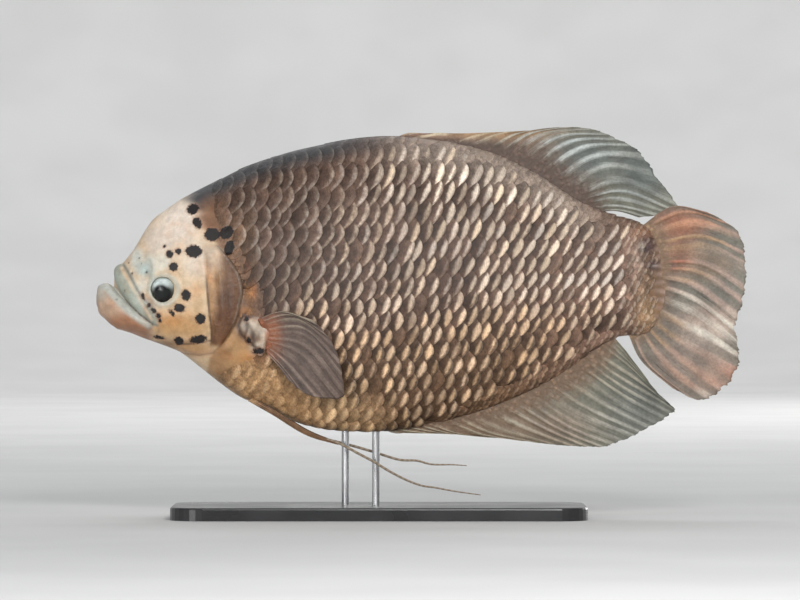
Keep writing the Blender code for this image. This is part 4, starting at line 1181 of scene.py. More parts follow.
class Shader:
    """Small helper that builds a material's nodes."""

    def __init__(self, name):
        self.material = bpy.data.materials.new(name)
        self.material.use_nodes = True
        self.tree = self.material.node_tree
        self.surface = self.tree.nodes["Principled BSDF"]

    def join(self, source, target):
        """Link an output to an input, or set the input to a value."""
        if isinstance(source, bpy.types.NodeSocket):
            self.tree.links.new(source, target)
        elif isinstance(source, tuple) and len(source) == 3 and target.type == "RGBA":
            target.default_value = source + (1.0,)
        else:
            target.default_value = source

    def attribute(self, name, output="Fac"):
        """Value stored on the mesh."""
        node = self.tree.nodes.new("ShaderNodeAttribute")
        node.attribute_name = name
        return node.outputs[output]

    def place(self):
        """Position in the object's own axes, in metres."""
        return self.tree.nodes.new("ShaderNodeTexCoord").outputs["Object"]

    def noise(self, scale, detail=3.0, roughness=0.6, stretch=None, where=None):
        """Noise of a given number of cells to the metre."""
        where = where or self.place()
        if stretch:
            node = self.tree.nodes.new("ShaderNodeMapping")
            self.join(where, node.inputs["Vector"])
            node.inputs["Scale"].default_value = stretch
            where = node.outputs["Vector"]
        node = self.tree.nodes.new("ShaderNodeTexNoise")
        self.join(where, node.inputs["Vector"])
        node.inputs["Scale"].default_value = scale
        node.inputs["Detail"].default_value = detail
        node.inputs["Roughness"].default_value = roughness
        return node.outputs["Fac"]

    def cells(self, scale):
        """Distance to the nearest of many scattered points."""
        node = self.tree.nodes.new("ShaderNodeTexVoronoi")
        self.join(self.place(), node.inputs["Vector"])
        node.inputs["Scale"].default_value = scale
        return node.outputs["Distance"]

    def maths(self, operation, first, second=0.0, third=0.0):
        """One step of arithmetic."""
        node = self.tree.nodes.new("ShaderNodeMath")
        node.operation = operation
        for value, socket in zip((first, second, third), node.inputs):
            self.join(value, socket)
        return node.outputs[0]

    def ramp(self, value, low, high, start=0.0, end=1.0):
        """Smooth change from start to end as the value goes from low to high."""
        node = self.tree.nodes.new("ShaderNodeMapRange")
        node.interpolation_type = "SMOOTHSTEP"
        self.join(value, node.inputs["Value"])
        node.inputs["From Min"].default_value = low
        node.inputs["From Max"].default_value = high
        node.inputs["To Min"].default_value = start
        node.inputs["To Max"].default_value = end
        return node.outputs["Result"]

    def mix(self, share, first, second, blend="MIX"):
        """Blend of two colours."""
        node = self.tree.nodes.new("ShaderNodeMix")
        node.data_type = "RGBA"
        node.blend_type = blend
        self.join(share, node.inputs[0])
        self.join(first, node.inputs[6])
        self.join(second, node.inputs[7])
        return node.outputs[2]

    def times(self, colour, factor):
        """One colour multiplied by another."""
        return self.mix(1.0, colour, factor, "MULTIPLY")

    def grey(self, value):
        """The same value in red, green and blue."""
        node = self.tree.nodes.new("ShaderNodeCombineColor")
        for socket in node.inputs[:3]:
            self.join(value, socket)
        return node.outputs[0]

    def vary(self, colour, value, low, high, start, end):
        """Colour made darker and lighter as the value goes from low to high."""
        return self.times(colour, self.grey(self.ramp(value, low, high, start, end)))

    def stray(self, value, source, reach):
        """Value moved up and down by a source that varies round one half."""
        return self.maths("MULTIPLY_ADD", self.maths("SUBTRACT", source, 0.5), reach, value)

    def finish(self, colour, roughness, height=None, depth=0.0005, coat=0.0, specular=0.35):
        """Feed the surface shader."""
        self.surface.inputs["Specular IOR Level"].default_value = specular
        self.join(colour, self.surface.inputs["Base Color"])
        self.join(roughness, self.surface.inputs["Roughness"])
        self.surface.inputs["Coat Weight"].default_value = coat
        self.surface.inputs["Coat Roughness"].default_value = 0.25
        if height is not None:
            node = self.tree.nodes.new("ShaderNodeBump")
            node.inputs["Distance"].default_value = depth
            node.inputs["Strength"].default_value = 1.0
            self.join(height, node.inputs["Height"])
            self.tree.links.new(node.outputs["Normal"], self.surface.inputs["Normal"])
        return self.material


def skin_material():
    """Moist skin: stored tones, soft mottling, pores, painted shade in the creases and black
    blotches.
    """
    s = Shader("gourami_skin")
    tone = s.vary(s.attribute("tone", "Color"), s.noise(120.0, 5.0, 0.7), 0.3, 0.7, 0.84, 1.12)
    flush = s.ramp(s.noise(45.0, 4.0), 0.48, 0.68, 0.0, 0.50)
    tone = s.mix(flush, tone, s.times(tone, TINTS["flush"]))
    cool = s.ramp(s.noise(70.0, 3.0, 0.6, (1.0, 1.0, 1.6)), 0.55, 0.75, 0.0, 0.35)
    tone = s.mix(cool, tone, s.times(tone, TINTS["cool"]))
    marbled = s.noise(80.0, 5.0, 0.6, (1.3, 1.0, 0.7))
    veins = s.mix(s.ramp(marbled, 0.30, 0.72), TINTS["vein_dark"], TINTS["vein_pale"])
    tone = s.mix(s.attribute("cover"), tone, s.times(tone, veins))
    freckle = s.maths("MULTIPLY", s.ramp(s.noise(820.0, 2.0), 0.66, 0.74), s.ramp(flush, 0.1, 0.5))
    tone = s.mix(s.maths("MULTIPLY", freckle, 0.4), tone, TINTS["freckle"])
    # Painted shade in the skin's creases, at the mouth's corner, round the eye and in the pores.
    tone = s.mix(s.attribute("crease"), tone, TINTS["crease"])
    edge = s.stray(s.attribute("blotch"), s.noise(420.0, 4.0), 4.6)
    mark = s.ramp(edge, 0.75, -0.65)
    tone = s.mix(s.ramp(edge, 2.0, 0.2, 0.0, 0.30), tone, TINTS["halo"])
    tone = s.mix(mark, tone, TONES["black"])
    pores = s.ramp(s.cells(420.0), 0.0, 0.35)
    height = s.maths("MULTIPLY_ADD", pores, 0.12, s.noise(200.0, 5.0, 0.6))
    height = s.maths("MULTIPLY", height, s.maths("MULTIPLY_ADD", mark, -0.7, 1.0))
    rough = s.ramp(s.noise(150.0, 3.0), 0.3, 0.7, 0.30, 0.44)
    rough = s.maths("MULTIPLY_ADD", mark, 0.2, rough)
    return s.finish(tone, rough, height, 0.0007)


def build_skin(settings):
    """One closed skin over head, trunk and tail stalk."""
    x, y, z = grid_axes(settings)
    field = skin_field(x, y, z)
    field = np.concatenate((field[:, ::-1], field), axis=1)
    y = np.concatenate((-y[::-1], y))
    points, quads = surface_net(field, x, y, z)
    points = smoothed(points, quads, 1, 0.5)
    mesh = make_mesh("skin", points, quads)
    px, py, pz = points.T
    tones = paint_mouth(skin_tones(px, pz), px, np.abs(py), pz)
    on_flank = ease(20.0, 30.0, np.abs(py))
    root = soft_patches(tones, px, pz, ROOT_PATCHES)
    tones = tones + (root - tones) * on_flank[:, None]
    set_tones(mesh, "tone", tones)
    set_values(mesh, "crease", skin_crease_shade(px, py, pz))
    root_mask = ease(20.0, 12.0, np.hypot(px - ROOT_CENTRE[0], pz - ROOT_CENTRE[1]))
    set_values(mesh, "cover", np.maximum(gill_mask(px, pz), root_mask) * on_flank)
    set_values(mesh, "blotch", blotches_both(px, py, pz))
    add_piece("skin", mesh, skin_material(),
              ("head", "upper_lip", "lower_jaw", "gill_cover_left", "gill_cover_right",
               "trunk", "tail_stalk"))


class Flank:
    """Map from x and the way round the section to a place on the body."""

    def __init__(self):
        self.x = np.linspace(BODY_STATIONS[0, 0] + 1.0, BODY_STATIONS[-1, 0], FLANK_COLUMNS)
        self.s = np.arange(-FLANK_REACH, FLANK_REACH + 1.0, FLANK_STEP)
        top, bottom, half, widest, back, belly = [v[:, None] for v in body_section(self.x)]
        angle = np.linspace(-0.5 * np.pi, 0.5 * np.pi, SECTION_STEPS)[None, :]
        sine, cosine = np.sin(angle), np.clip(np.cos(angle), 0.0, 1.0)
        up = angle >= 0.0
        z = np.where(up, widest + (top - widest) * sine, widest + (widest - bottom) * sine)
        y = half * cosine ** np.where(up, back, belly)
        step = np.hypot(np.diff(y, axis=1), np.diff(z, axis=1))
        length = np.concatenate((np.zeros((len(self.x), 1)), np.cumsum(step, axis=1)), axis=1)
        middle = SECTION_STEPS // 2
        length -= length[:, middle:middle + 1]
        self.low, self.high = length[:, 0], length[:, -1]
        rows = range(len(self.x))
        self.y = np.stack([np.interp(self.s, length[i], y[i]) for i in rows])
        self.z = np.stack([np.interp(self.s, length[i], z[i]) for i in rows])

    def point(self, x, s):
        """Places on the right flank for x and s."""
        u = np.clip((x - self.x[0]) / (self.x[1] - self.x[0]), 0.0, len(self.x) - 1.001)
        v = np.clip((s - self.s[0]) / FLANK_STEP, 0.0, len(self.s) - 1.001)
        i, j = u.astype(int), v.astype(int)
        fu, fv = u - i, v - j
        found = []
        for table in (self.y, self.z):
            low = table[i, j] * (1 - fv) + table[i, j + 1] * fv
            high = table[i + 1, j] * (1 - fv) + table[i + 1, j + 1] * fv
            found.append(low * (1 - fu) + high * fu)
        return np.stack((x, found[0], found[1]), -1)

    def reach(self, x):
        """Lowest and highest s at x."""
        return np.interp(x, self.x, self.low), np.interp(x, self.x, self.high)


def row_pitch(x, row):
    """Distance between neighbouring rows of scales near a row."""
    rear = ease(-10.0, 190.0, x)
    if row >= 0:
        return (16.4 + 0.40 * row) * (1.0 - 0.20 * rear)
    return 14.9 * (1.0 - 0.12 * rear)


def scale_places(flank, settings, side):
    """Centres, sizes and leans of the scales of one flank, row by row."""
    chance = np.random.default_rng(SCALE_SEEDS[0] if side < 0.0 else SCALE_SEEDS[1])
    pitch = settings.scale_pitch / MM
    found = []
    count = int(SCALE_RUN / pitch)
    for row in range(*LARGE_ROWS):
        x = SCALE_START + np.arange(count) * pitch
        x = x - 0.9 * row if row >= 0 else x - 2.6 * row
        x = x + 2.0 * math.sin(0.9 * row + 1.0)
        x = SCALE_START + (x - SCALE_START) % (count * pitch)
        s = row * row_pitch(x, 0.5 * row if row >= 0 else row)
        tall = row_pitch(x, row)
        shift = (-0.9 if row >= 0 else -2.7) + 1.8 * ease(0.0, 130.0, x)
        lean = (0.5 * pitch + shift) / tall
        x = x + chance.normal(0.0, 0.60, count)
        s = s + chance.normal(0.0, 0.70, count)
        add_places(found, flank, chance, x, s, tall, pitch, lean, True)
    count = int(SCALE_RUN / SMALL_PITCH)
    for row in range(*SMALL_ROWS):
        x = SCALE_START + (np.arange(count) + 0.5 * (row % 2)) * SMALL_PITCH
        x = x + chance.normal(0.0, 0.5, count)
        s = row * SMALL_ROW + chance.normal(0.0, 0.5, count)
        tall = np.full(count, SMALL_PITCH)
        add_places(found, flank, chance, x, s, tall, SMALL_PITCH, np.full(count, 0.30), False)
    return np.array(found)


def large_limits(x):
    """Distance that large scales keep from the back and belly edges at x."""
    upper = LARGE_BACK_GAP + 12.0 * ease(-10.0, 60.0, x) - 11.0 * ease(140.0, 180.0, x)
    lower = LARGE_BELLY_GAP + 17.0 * ease(-20.0, 60.0, x) - 14.0 * ease(150.0, 185.0, x)
    return upper, lower


def add_places(found, flank, chance, x, s, tall, pitch, lean, big):
    """Keep the scales that lie inside their part of the flank."""
    z = flank.point(x, s)[:, 2]
    low, high = flank.reach(x)
    edge = along_line(SCALE_EDGE, z)
    upper, lower = large_limits(x)
    off_middle = np.abs(z - TAIL_MIDDLE)
    tail = 185.0 - 0.10 * off_middle
    inside = (s < high - upper) & (s > low + lower) & (x < tail)
    if big:
        keep = (x > edge) & inside
    else:
        close = (s < high - upper + 9.0) & (s > low + lower - 6.0) & (x < tail + 3.0) & inside
        keep = (x > np.maximum(edge, 15.0)) & ~close
        keep &= (s < high - SMALL_BACK_GAP) & (s > low + SMALL_BELLY_GAP)
        gill = along_line(GILL_EDGE, z) + 6.0
        keep |= (x < edge + 1.0) & (x > gill) & (z > 187.0) & (z < 262.0)
        keep &= x < SMALL_END - 0.35 * np.maximum(off_middle - 22.0, 0.0)
        keep &= chance.random(len(x)) > ease(204.0, 224.0, x)
    size = chance.normal(1.0, 0.06, len(x)) * (1.0 - 0.25 * ease(196.0, 214.0, x))
    luck = chance.random(len(x))
    tilt = chance.normal(0.0, 0.06, len(x))
    for k in np.nonzero(keep)[0]:
        found.append((x[k], s[k], tall[k] * size[k], pitch * size[k], lean[k] + tilt[k], luck[k],
                      float(big)))


def scale_shape():
    """Outline and faces shared by all scales: along, across and a skirt."""
    across = np.linspace(-1.0, 1.0, SCALE_ACROSS)
    p, q = [part.ravel() for part in np.meshgrid(SCALE_ALONG, across, indexing="ij")]
    rows, columns = len(SCALE_ALONG), SCALE_ACROSS
    faces = []
    for i in range(rows - 1):
        for j in range(columns - 1):
            a = i * columns + j
            b = a + columns
            faces += [(a, a + 1, b + 1), (a, b + 1, b)]
    rim = list(range(columns))
    rim += [i * columns + columns - 1 for i in range(1, rows)]
    rim += [(rows - 1) * columns + j for j in range(columns - 2, -1, -1)]
    rim += [i * columns for i in range(rows - 2, 0, -1)]
    start = len(p)
    count = len(rim)
    for k in range(count):
        a, b = rim[k], rim[(k + 1) % count]
        c, d = start + k, start + (k + 1) % count
        faces += [(a, c, d), (a, d, b)]
    for k in range(1, count - 1):
        faces.append((start, start + k + 1, start + k))
    return p, q, np.array(rim), np.array(faces)


def build_scales(settings):
    """Overlapping scales in staggered rows on both flanks."""
    flank = Flank()
    material = scale_material()
    shape = scale_shape()
    for side, word in SIDES:
        places = scale_places(flank, settings, side)
        rear = places[:, 0] >= COAT_SPLIT
        scale_piece("scales_%s_front" % word, places[~rear], flank, side, material, shape)
        scale_piece("scales_%s_rear" % word, places[rear], flank, side, material, shape)


def scale_softness(flank, x0, s0, luck, big):
    """How far each scale melts into the skin round it."""
    below_back = flank.reach(x0)[1] - s0 + 14.0 * (luck - 0.5)
    height = flank.point(x0, s0)[..., 2]
    soft = ease(-75.0, -135.0, x0) * ease(-45.0, -75.0, s0)
    soft = np.maximum(soft, ease(38.0, 14.0, below_back) * ease(195.0, 150.0, x0))
    soft = np.maximum(soft, (1.0 - big) * ease(-120.0, -140.0, x0))
    return np.maximum(soft, ease(-165.0, -190.0, x0) * ease(240.0, 250.0, height))


def scale_height(p, q, reach, thick, soft, big, x0):
    """Height of a scale's face over the flank, sunk in the skin at its root."""
    lift = 0.1 + (1.25 * reach + 0.30 * ease(0.5, 1.0, p)) * thick
    dome = 0.75 * (1.0 - q ** 2) * np.sin(np.pi * np.clip(1.25 * p - 0.25, 0.0, 1.0))
    height = (lift + dome * thick) * (1.0 - 0.5 * soft) - COAT_DEPTH * (0.3 + 0.7 * big)
    height = height * (1.0 - 0.5 * (1.0 - big) * ease(-120.0, -140.0, x0))
    height = height - 0.35 * thick * ease(0.90, 1.0, p)
    return height * (1.0 - 0.5 * ease(178.0, 196.0, x0) - 0.3 * ease(200.0, 214.0, x0))


def scale_points(flank, side, x, s, height, p, rim):
    """Upper face and skirt of each scale, on the flank of the given side."""
    here = flank.point(x, s)
    ahead = flank.point(x + 1.0, s)
    above = flank.point(x, s + 1.0)
    normal = np.cross(above - here, ahead - here)
    length = np.linalg.norm(normal, axis=-1, keepdims=True)
    normal = normal / np.maximum(length, 0.001)
    normal = normal * np.where(normal[..., 1:2] < 0.0, -1.0, 1.0)
    top = here + normal * height[..., None]
    under = here[:, rim] + normal[:, rim] * (height[:, rim, None] - 0.8)
    under = np.where((p[rim] > 0.5)[None, :, None], under, here[:, rim] - 1.2 * normal[:, rim])
    points = np.concatenate((top, under), axis=1)
    points[..., 1] *= side
    return points


def pale_patch(a, b, arc, half, pitch, luck, high, low):
    """Distance to a scale's pale patch: an oval, or high on the shoulder a crescent along the free
    edge that is partly a painted highlight.
    """
    middle = (0.54 - 0.08 * low) * pitch
    wide = (0.29 - 0.02 * low) * pitch * (0.60 + 0.70 * (luck * 5.3 % 1.0))
    tip = half * (0.88 - 0.22 * low)
    oval = np.abs(a - 0.12 * b - middle) - wide * (1.0 - np.clip(np.abs(b) / tip, 0.0, 1.3) ** 2)
    crescent = np.abs(a - arc + 0.20 * pitch) - 0.24 * pitch * (1.0 - (b / tip) ** 2) * (0.5 + luck)
    return oval + (crescent - oval) * high


def scale_piece(name, places, flank, side, material, shape):
    """One mesh with a group of scales."""
    p, q, rim, faces = shape
    x0, s0, tall, pitch, lean, luck, big = [places[:, k][:, None] for k in range(7)]
    half = 0.90 * tall
    front = -1.02 * pitch
    arc = 0.90 * pitch * np.clip(1.0 - np.abs(q) ** 1.75, 0.0, 1.0)
    a = front + (arc - front) * p
    b = q * half * (1.0 - 0.10 * (1.0 - p))
    soft = scale_softness(flank, x0, s0, luck, big)
    thick = np.minimum(pitch / 11.0, 1.0)
    height = scale_height(p, q, (a - front) / pitch, thick, soft, big, x0)
    points = scale_points(flank, side, x0 + a + lean * b, s0 + b, height, p, rim)
    count, each = points.shape[:2]
    flat = points.reshape(-1, 3)
    all_faces = (faces[None] + (np.arange(count) * each)[:, None, None]).reshape(-1, 3)
    if side < 0.0:
        all_faces = all_faces[:, ::-1]
    mesh = make_mesh(name, flat, all_faces)
    set_tones(mesh, "tone", skin_tones(flat[:, 0], flat[:, 2]))
    set_tones(mesh, "face", face_tones(flat[:, 0], flat[:, 2]))
    high = ease(-30.0, 40.0, s0) * ease(10.0, -110.0, x0)
    low = ease(-30.0, -60.0, s0) * ease(150.0, 90.0, x0)
    oval = pale_patch(a, b, arc, half, pitch, luck, high, low)
    oval = np.concatenate((oval, oval[:, rim]), axis=1)
    set_values(mesh, "oval", oval / np.where(big > 0.5, 1.0, 0.55))
    full_p = np.tile(np.concatenate((p, p[rim])), (count, 1))
    full_q = np.tile(np.concatenate((q, q[rim])), (count, 1))
    set_values(mesh, "along", full_p)
    set_values(mesh, "across", full_q)
    vivid = ease(10.0, 110.0, x0) * (1.0 - low)
    for word, values in (("luck", luck), ("soft", soft), ("dusk", high), ("big", big),
                         ("vivid", vivid)):
        set_values(mesh, word, np.repeat(values[:, 0], each))
    set_values(mesh, "blotch", blotches_both(*flat.T))
    bake_map(mesh, full_p, full_q, x0, s0, pitch)
    add_piece(name, mesh, material)


def bake_map(mesh, p, q, x0, s0, pitch):
    """Give each scale its own patch at its root's place on the unrolled flank."""
    inner = 1.0 - 2.0 * MAP_MARGIN
    u = MAP_MARGIN + (x0 - MAP_START[0]) / MAP_SIZE[0] * inner
    v = MAP_MARGIN + (s0 - MAP_START[1]) / MAP_SIZE[1] * inner
    patch = MAP_PATCH * pitch
    coordinates = np.stack((u + (p - 0.5) * patch, v + q * patch), -1).reshape(-1, 2)
    layer = mesh.uv_layers.new(name="OFBake")
    order = np.empty(len(mesh.loops), dtype=np.int32)
    mesh.loops.foreach_get("vertex_index", order)
    layer.data.foreach_set("uv", coordinates[order].astype(np.float32).ravel())


def scale_material():
    """Scales with a dark root that is partly painted shadow of the scale in front, a pale raised face
    with painted light and shade across it, and a thin painted highlight along the free edge.
    """
    s = Shader("gourami_scales")
    tone = s.attribute("tone", "Color")
    along = s.attribute("along")
    aside = s.maths("ABSOLUTE", s.attribute("across"))
    luck = s.attribute("luck")
    dusk = s.attribute("dusk")
    big = s.attribute("big")
    grain = s.noise(620.0, 4.0, 0.65, (1.7, 1.0, 0.6))
    turn = s.maths("FRACT", s.maths("MULTIPLY", luck, 7.3))
    other = s.maths("FRACT", s.maths("MULTIPLY", luck, 3.7))
    level = s.grey(s.ramp(other, 0.0, 1.0, 0.70, 1.22))
    tint = s.mix(turn, TINTS["warm_face"], TINTS["cold_face"])
    face = s.times(s.times(s.attribute("face", "Color"), tint), level)
    # Painted light and shade on each face: darker towards its root, lighter towards its free edge.
    face = s.vary(face, along, 0.52, 0.90, 0.55, 1.18)
    mood = s.maths("MULTIPLY_ADD", luck, 0.34, s.noise(34.0, 3.0, 0.5))
    mood = s.maths("MULTIPLY_ADD", dusk, 0.07, mood)
    strength = s.ramp(mood, 0.58, 0.94, 1.06, 0.34)
    strength = s.maths("MAXIMUM", strength, s.maths("MULTIPLY", s.attribute("vivid"), 0.86))
    smudge = s.grey(s.ramp(s.noise(170.0, 3.0), 0.36, 0.62, 0.25, 1.10))
    for share in (s.mix(dusk, TINTS["none"], smudge), s.ramp(luck, 0.93, 0.97, 1.0, 0.12),
                  s.ramp(big, 0.4, 0.6, 0.28, 1.0)):
        strength = s.maths("MULTIPLY", strength, share)
    # Painted shadow of the scale in front, darkening each large scale towards its root over the
    # root's own darker tone.
    shade = s.mix(big, TINTS["none"], s.grey(s.ramp(along, 0.35, 0.95, 0.40, 0.85)))
    ground = s.times(s.times(tone, level), shade)
    ground = s.vary(ground, s.noise(150.0, 5.0, 0.7), 0.3, 0.7, 0.62, 1.38)
    pale = s.ramp(s.stray(s.attribute("oval"), s.noise(260.0, 4.0, 0.65), 4.2), 0.9, -2.6)
    colour = s.mix(s.maths("MULTIPLY", pale, strength), ground, face)
    # Painted highlight along the free edge of each scale.
    rim = s.maths("MULTIPLY", s.ramp(along, 0.86, 0.97), s.ramp(aside, 0.9, 0.4))
    for share in (strength, s.maths("MULTIPLY_ADD", dusk, 0.15, 0.15)):
        rim = s.maths("MULTIPLY", rim, share)
    colour = s.mix(rim, colour, TINTS["scale_rim_highlight"])
    cloudy = s.vary(tone, s.noise(210.0, 4.0, 0.65), 0.3, 0.7, 0.55, 1.35)
    colour = s.mix(s.maths("MULTIPLY", s.attribute("soft"), 0.62), colour, cloudy)
    colour = s.vary(colour, grain, 0.28, 0.72, 0.72, 1.22)
    mark = s.ramp(s.stray(s.attribute("blotch"), s.noise(520.0, 3.0), 3.4), 0.35, -0.35)
    colour = s.mix(mark, colour, TONES["black"])
    height = s.maths("MULTIPLY_ADD", aside, 0.15, grain)
    rough = s.ramp(grain, 0.3, 0.7, 0.36, 0.52)
    return s.finish(colour, rough, height, 0.0004, specular=0.22)


def fin_grid(rays, across, along):
    """Middle surface of a fin at any places across it and along its rays."""
    rays = np.array(rays, dtype=float)
    knots = np.linspace(0.0, 1.0, rays.shape[1])
    place = across * (len(rays) - 1.0)
    grid = np.empty(along.shape + (rays.shape[2],))
    for axis in range(rays.shape[2]):
        controls = [curve_through(np.arange(len(rays)), rays[:, k, axis], place)
                    for k in range(rays.shape[1])]
        controls = np.array(controls).T
        for column, values in enumerate(controls):
            grid[column, :, axis] = curve_through(knots, values, along[column])
    return grid


def ray_pattern(phase, along, split):
    """Height of the rays, each dividing into branches towards the edge."""
    local = phase[:, None] % 1.0 - 0.5
    first = 0.13 * ease(split, split + 0.25, along)
    second = 0.065 * ease(split + 0.3, split + 0.55, along)
    width = 0.15 - 0.075 * ease(split, split + 0.4, along)
    ridge = 0.0
    for a in (-1.0, 1.0):
        for b in (-1.0, 1.0):
            centre = a * (first + 0.02) + b * second
            ridge = np.maximum(ridge, np.exp(-((local - centre) / width) ** 2))
    return ridge


def fin_mesh(name, rays, count, rows, lay, root, folds, seed, split, notch):
    """Closed fin with broad folds, fine branching rays and a worn edge."""
    depth, ridge_height = folds
    chance = np.random.default_rng(seed)
    columns = count * RAY_POINTS + 1
    across = np.linspace(0.0, 1.0, columns)
    knots = np.arange(count + 1)
    phase = np.interp(across * count, knots, knots + chance.normal(0.0, 0.17, count + 1))
    strength = np.interp(phase, knots, chance.uniform(0.25, 1.0, count + 1))
    sharp = chance.uniform(0.0, 1.0, columns)
    broad = np.interp(phase, knots, chance.uniform(0.0, 1.0, count + 1))
    tip = ray_pattern(phase, np.ones((columns, 1)), split)[:, 0]
    reach = 1.0 - notch * (0.5 * (1.0 - tip) + 0.35 * sharp + broad)
    along = np.linspace(0.0, 1.0, rows)[None, :] * reach[:, None]
    centre = lay(fin_grid(rays, across, along), across[:, None], along)
    ridge = ray_pattern(phase, along, split)
    run = np.gradient(centre, axis=1)
    over = np.gradient(centre, axis=0)
    normal = np.cross(over, run)
    normal /= np.maximum(np.linalg.norm(normal, axis=2, keepdims=True), 1e-6)
    if normal[columns // 2, rows // 2, 1] > 0.0:
        normal = -normal
    joints = 1.0 - 0.14 * (0.5 - 0.5 * np.cos(along * JOINT_WAVES)) * ease(0.25, 0.5, along)
    half = 0.5 * (0.5 + (root - 0.5) * (1.0 - along) ** 2.4)
    lift = half + ridge_height * ridge * joints * (1.0 - 0.5 * along)
    wave = np.cos(2.0 * np.pi * (phase[:, None] + 0.10 * np.sin(5.0 * along + phase[:, None])))
    wave = wave * strength[:, None]
    fold = wave * ease(0.0, 0.35, along) * (1.0 - 0.35 * along)
    centre = centre + normal * (depth * fold)[..., None]
    front = centre + normal * lift[..., None]
    back = centre - normal * lift[..., None]
    points = np.concatenate((front.reshape(-1, 3), back.reshape(-1, 3)))
    index = np.arange(columns * rows).reshape(columns, rows)
    quads = np.stack((index[:-1, :-1], index[1:, :-1], index[1:, 1:], index[:-1, 1:]), -1)
    quads = quads.reshape(-1, 4)
    offset = columns * rows
    border = np.concatenate((index[:, 0], index[-1, 1:], index[-2::-1, -1], index[0, -2:0:-1]))
    there = np.roll(border, -1)
    wall = np.stack((border, border + offset, there + offset, there), -1)
    faces = np.concatenate((quads, quads[:, ::-1] + offset, wall))
    mesh = make_mesh(name, points, faces)
    outward(mesh)
    wide = np.broadcast_to(across[:, None], along.shape)
    # Painted light and shade of the folds: 1 on a crest and 0 in a furrow, turned over on the back
    # face so that each face has its own crests lit.
    shade = 0.5 + 0.5 * wave
    for word, values in (("ray", ridge), ("along", along), ("across", wide), ("fold", shade)):
        values = values.ravel()
        back_values = 1.0 - values if word == "fold" else values
        set_values(mesh, word, np.concatenate((values, back_values)))
    return mesh


def tone_fin(mesh, crest, valley):
    """Store the colours of a fin's raised folds and of the furrows between them."""
    x, _, z = read_points(mesh).T
    for word, (tone, patches) in (("crest", crest), ("valley", valley)):
        colours = np.tile(np.array(TONES[tone]), (len(x), 1))
        set_tones(mesh, word, soft_patches(colours, x, z, patches))


def upright(sway):
    """Lay a fin in the middle plane, swayed sideways."""
    def lay(grid, across, along):
        centre = np.zeros(grid.shape[:2] + (3,))
        centre[..., 0] = grid[..., 0]
        centre[..., 2] = grid[..., 1]
        centre[..., 1] = sway(across, along)
        return centre
    return lay


def dorsal_sway(across, along):
    """Gentle wave of the back fin, its rear swung clear of the tail fin."""
    swing = REAR_SWING * np.clip((across - 0.5) / 0.35, 0.0, 1.0) ** 2
    return (1.6 * np.sin(9.0 * across + 1.5) + swing) * along ** 1.5


def anal_sway(across, along):
    """Gentle wave of the fin under the tail."""
    return 1.8 * np.sin(10.0 * across) * along ** 1.5


def caudal_sway(across, along):
    """The upper lobe lies nearer than the lower one, with a fold between them."""
    step = np.tanh((across - 0.54) * 16.0)
    return CAUDAL_FOLD * step * along ** 1.2 + 1.2 * np.sin(14.0 * across) * along ** 2


def beside(side):
    """Lay a pectoral fin back along the flank."""
    def lay(grid, across, along):
        lift = PECTORAL_LIFT * along ** 1.1 + 1.2
        width = body_half_width(grid[..., 0], grid[..., 1])
        return np.stack((grid[..., 0], side * (width + lift), grid[..., 1]), -1)
    return lay


def below(side):
    """Lay a pelvic fin along the breast."""
    def lay(grid, across, along):
        return np.stack((grid[..., 0], side * grid[..., 2], grid[..., 1]), -1)
    return lay


def fin_grain(s):
    """Fine streaks that run along the rays."""
    node = s.tree.nodes.new("ShaderNodeCombineXYZ")
    s.join(s.maths("MULTIPLY", s.attribute("across"), 260.0), node.inputs[0])
    s.join(s.maths("MULTIPLY", s.attribute("along"), 7.0), node.inputs[1])
    return s.noise(1.0, 3.0, 0.5, where=node.outputs[0])


def fin_material(word, fin):
    """Thin membrane with paler rays, painted light on its folds' crests and painted shade in their
    furrows, mottled and scaly at the root.
    """
    s = Shader(word + "_skin")
    streak = fin_grain(s)
    fine = s.noise(420.0, 4.0)
    level = s.stray(s.attribute("fold"), streak, 0.40)
    level = s.stray(level, s.attribute("ray"), 0.22)
    # Crests take the paler crest colours and furrows the darker valley colours: partly the rays' and
    # membrane's own colours, partly painted light and shade of the folds.
    colour = s.mix(s.ramp(level, 0.30, 0.84), s.attribute("valley", "Color"),
                   s.attribute("crest", "Color"))
    # Painted shade in the deepest furrows of the folds and a painted highlight on the highest crests.
    colour = s.mix(s.ramp(level, 0.10, 0.0, 0.0, 0.7), colour, TINTS["furrow_shade"])
    colour = s.mix(s.ramp(level, 0.92, 1.10, 0.0, 0.45), colour, TINTS["glint"])
    colour = s.vary(colour, s.noise(60.0, 3.0), 0.35, 0.65, 0.82, 1.12)
    scaly = s.maths("ADD", s.cells(210.0), s.noise(160.0, 3.0))
    base = s.vary(TONES[fin["root"]], scaly, 0.45, 1.1, 1.20, 0.70)
    edge = s.stray(s.stray(s.attribute("along"), s.noise(150.0, 4.0), 0.28), streak, 0.24)
    cover = s.ramp(edge, fin["cover"], 0.35 * fin["cover"])
    colour = s.vary(s.mix(cover, colour, base), fine, 0.3, 0.7, 0.84, 1.12)
    height = s.maths("MULTIPLY_ADD", streak, 0.8, fine)
    height = s.maths("MULTIPLY_ADD", cover, s.ramp(s.cells(210.0), 0.0, 0.6, 1.0, 0.0), height)
    return s.finish(colour, s.ramp(fine, 0.3, 0.7, 0.36, 0.52), height, 0.0006)


def dressed_fin(name, fin, lay, rows):
    """Mesh of a fin from its values, with the colours of its folds."""
    mesh = fin_mesh(name, fin["rays"], fin["count"], rows, lay, fin["thick"], fin["folds"],
                    fin["seed"], fin["split"], fin["notch"])
    tone_fin(mesh, fin["crest"], fin["valley"])
    return mesh


def build_fins(settings):
    """Back, belly and tail fin in the middle plane."""
    sways = {"dorsal": dorsal_sway, "anal": anal_sway, "caudal": caudal_sway}
    for word, fin in UPRIGHT_FINS.items():
        name = word + "_fin_skin"
        mesh = dressed_fin(name, fin, upright(sways[word]), settings.fin_rows)
        add_piece(name, mesh, fin_material(word, fin), (word + "_fin",))


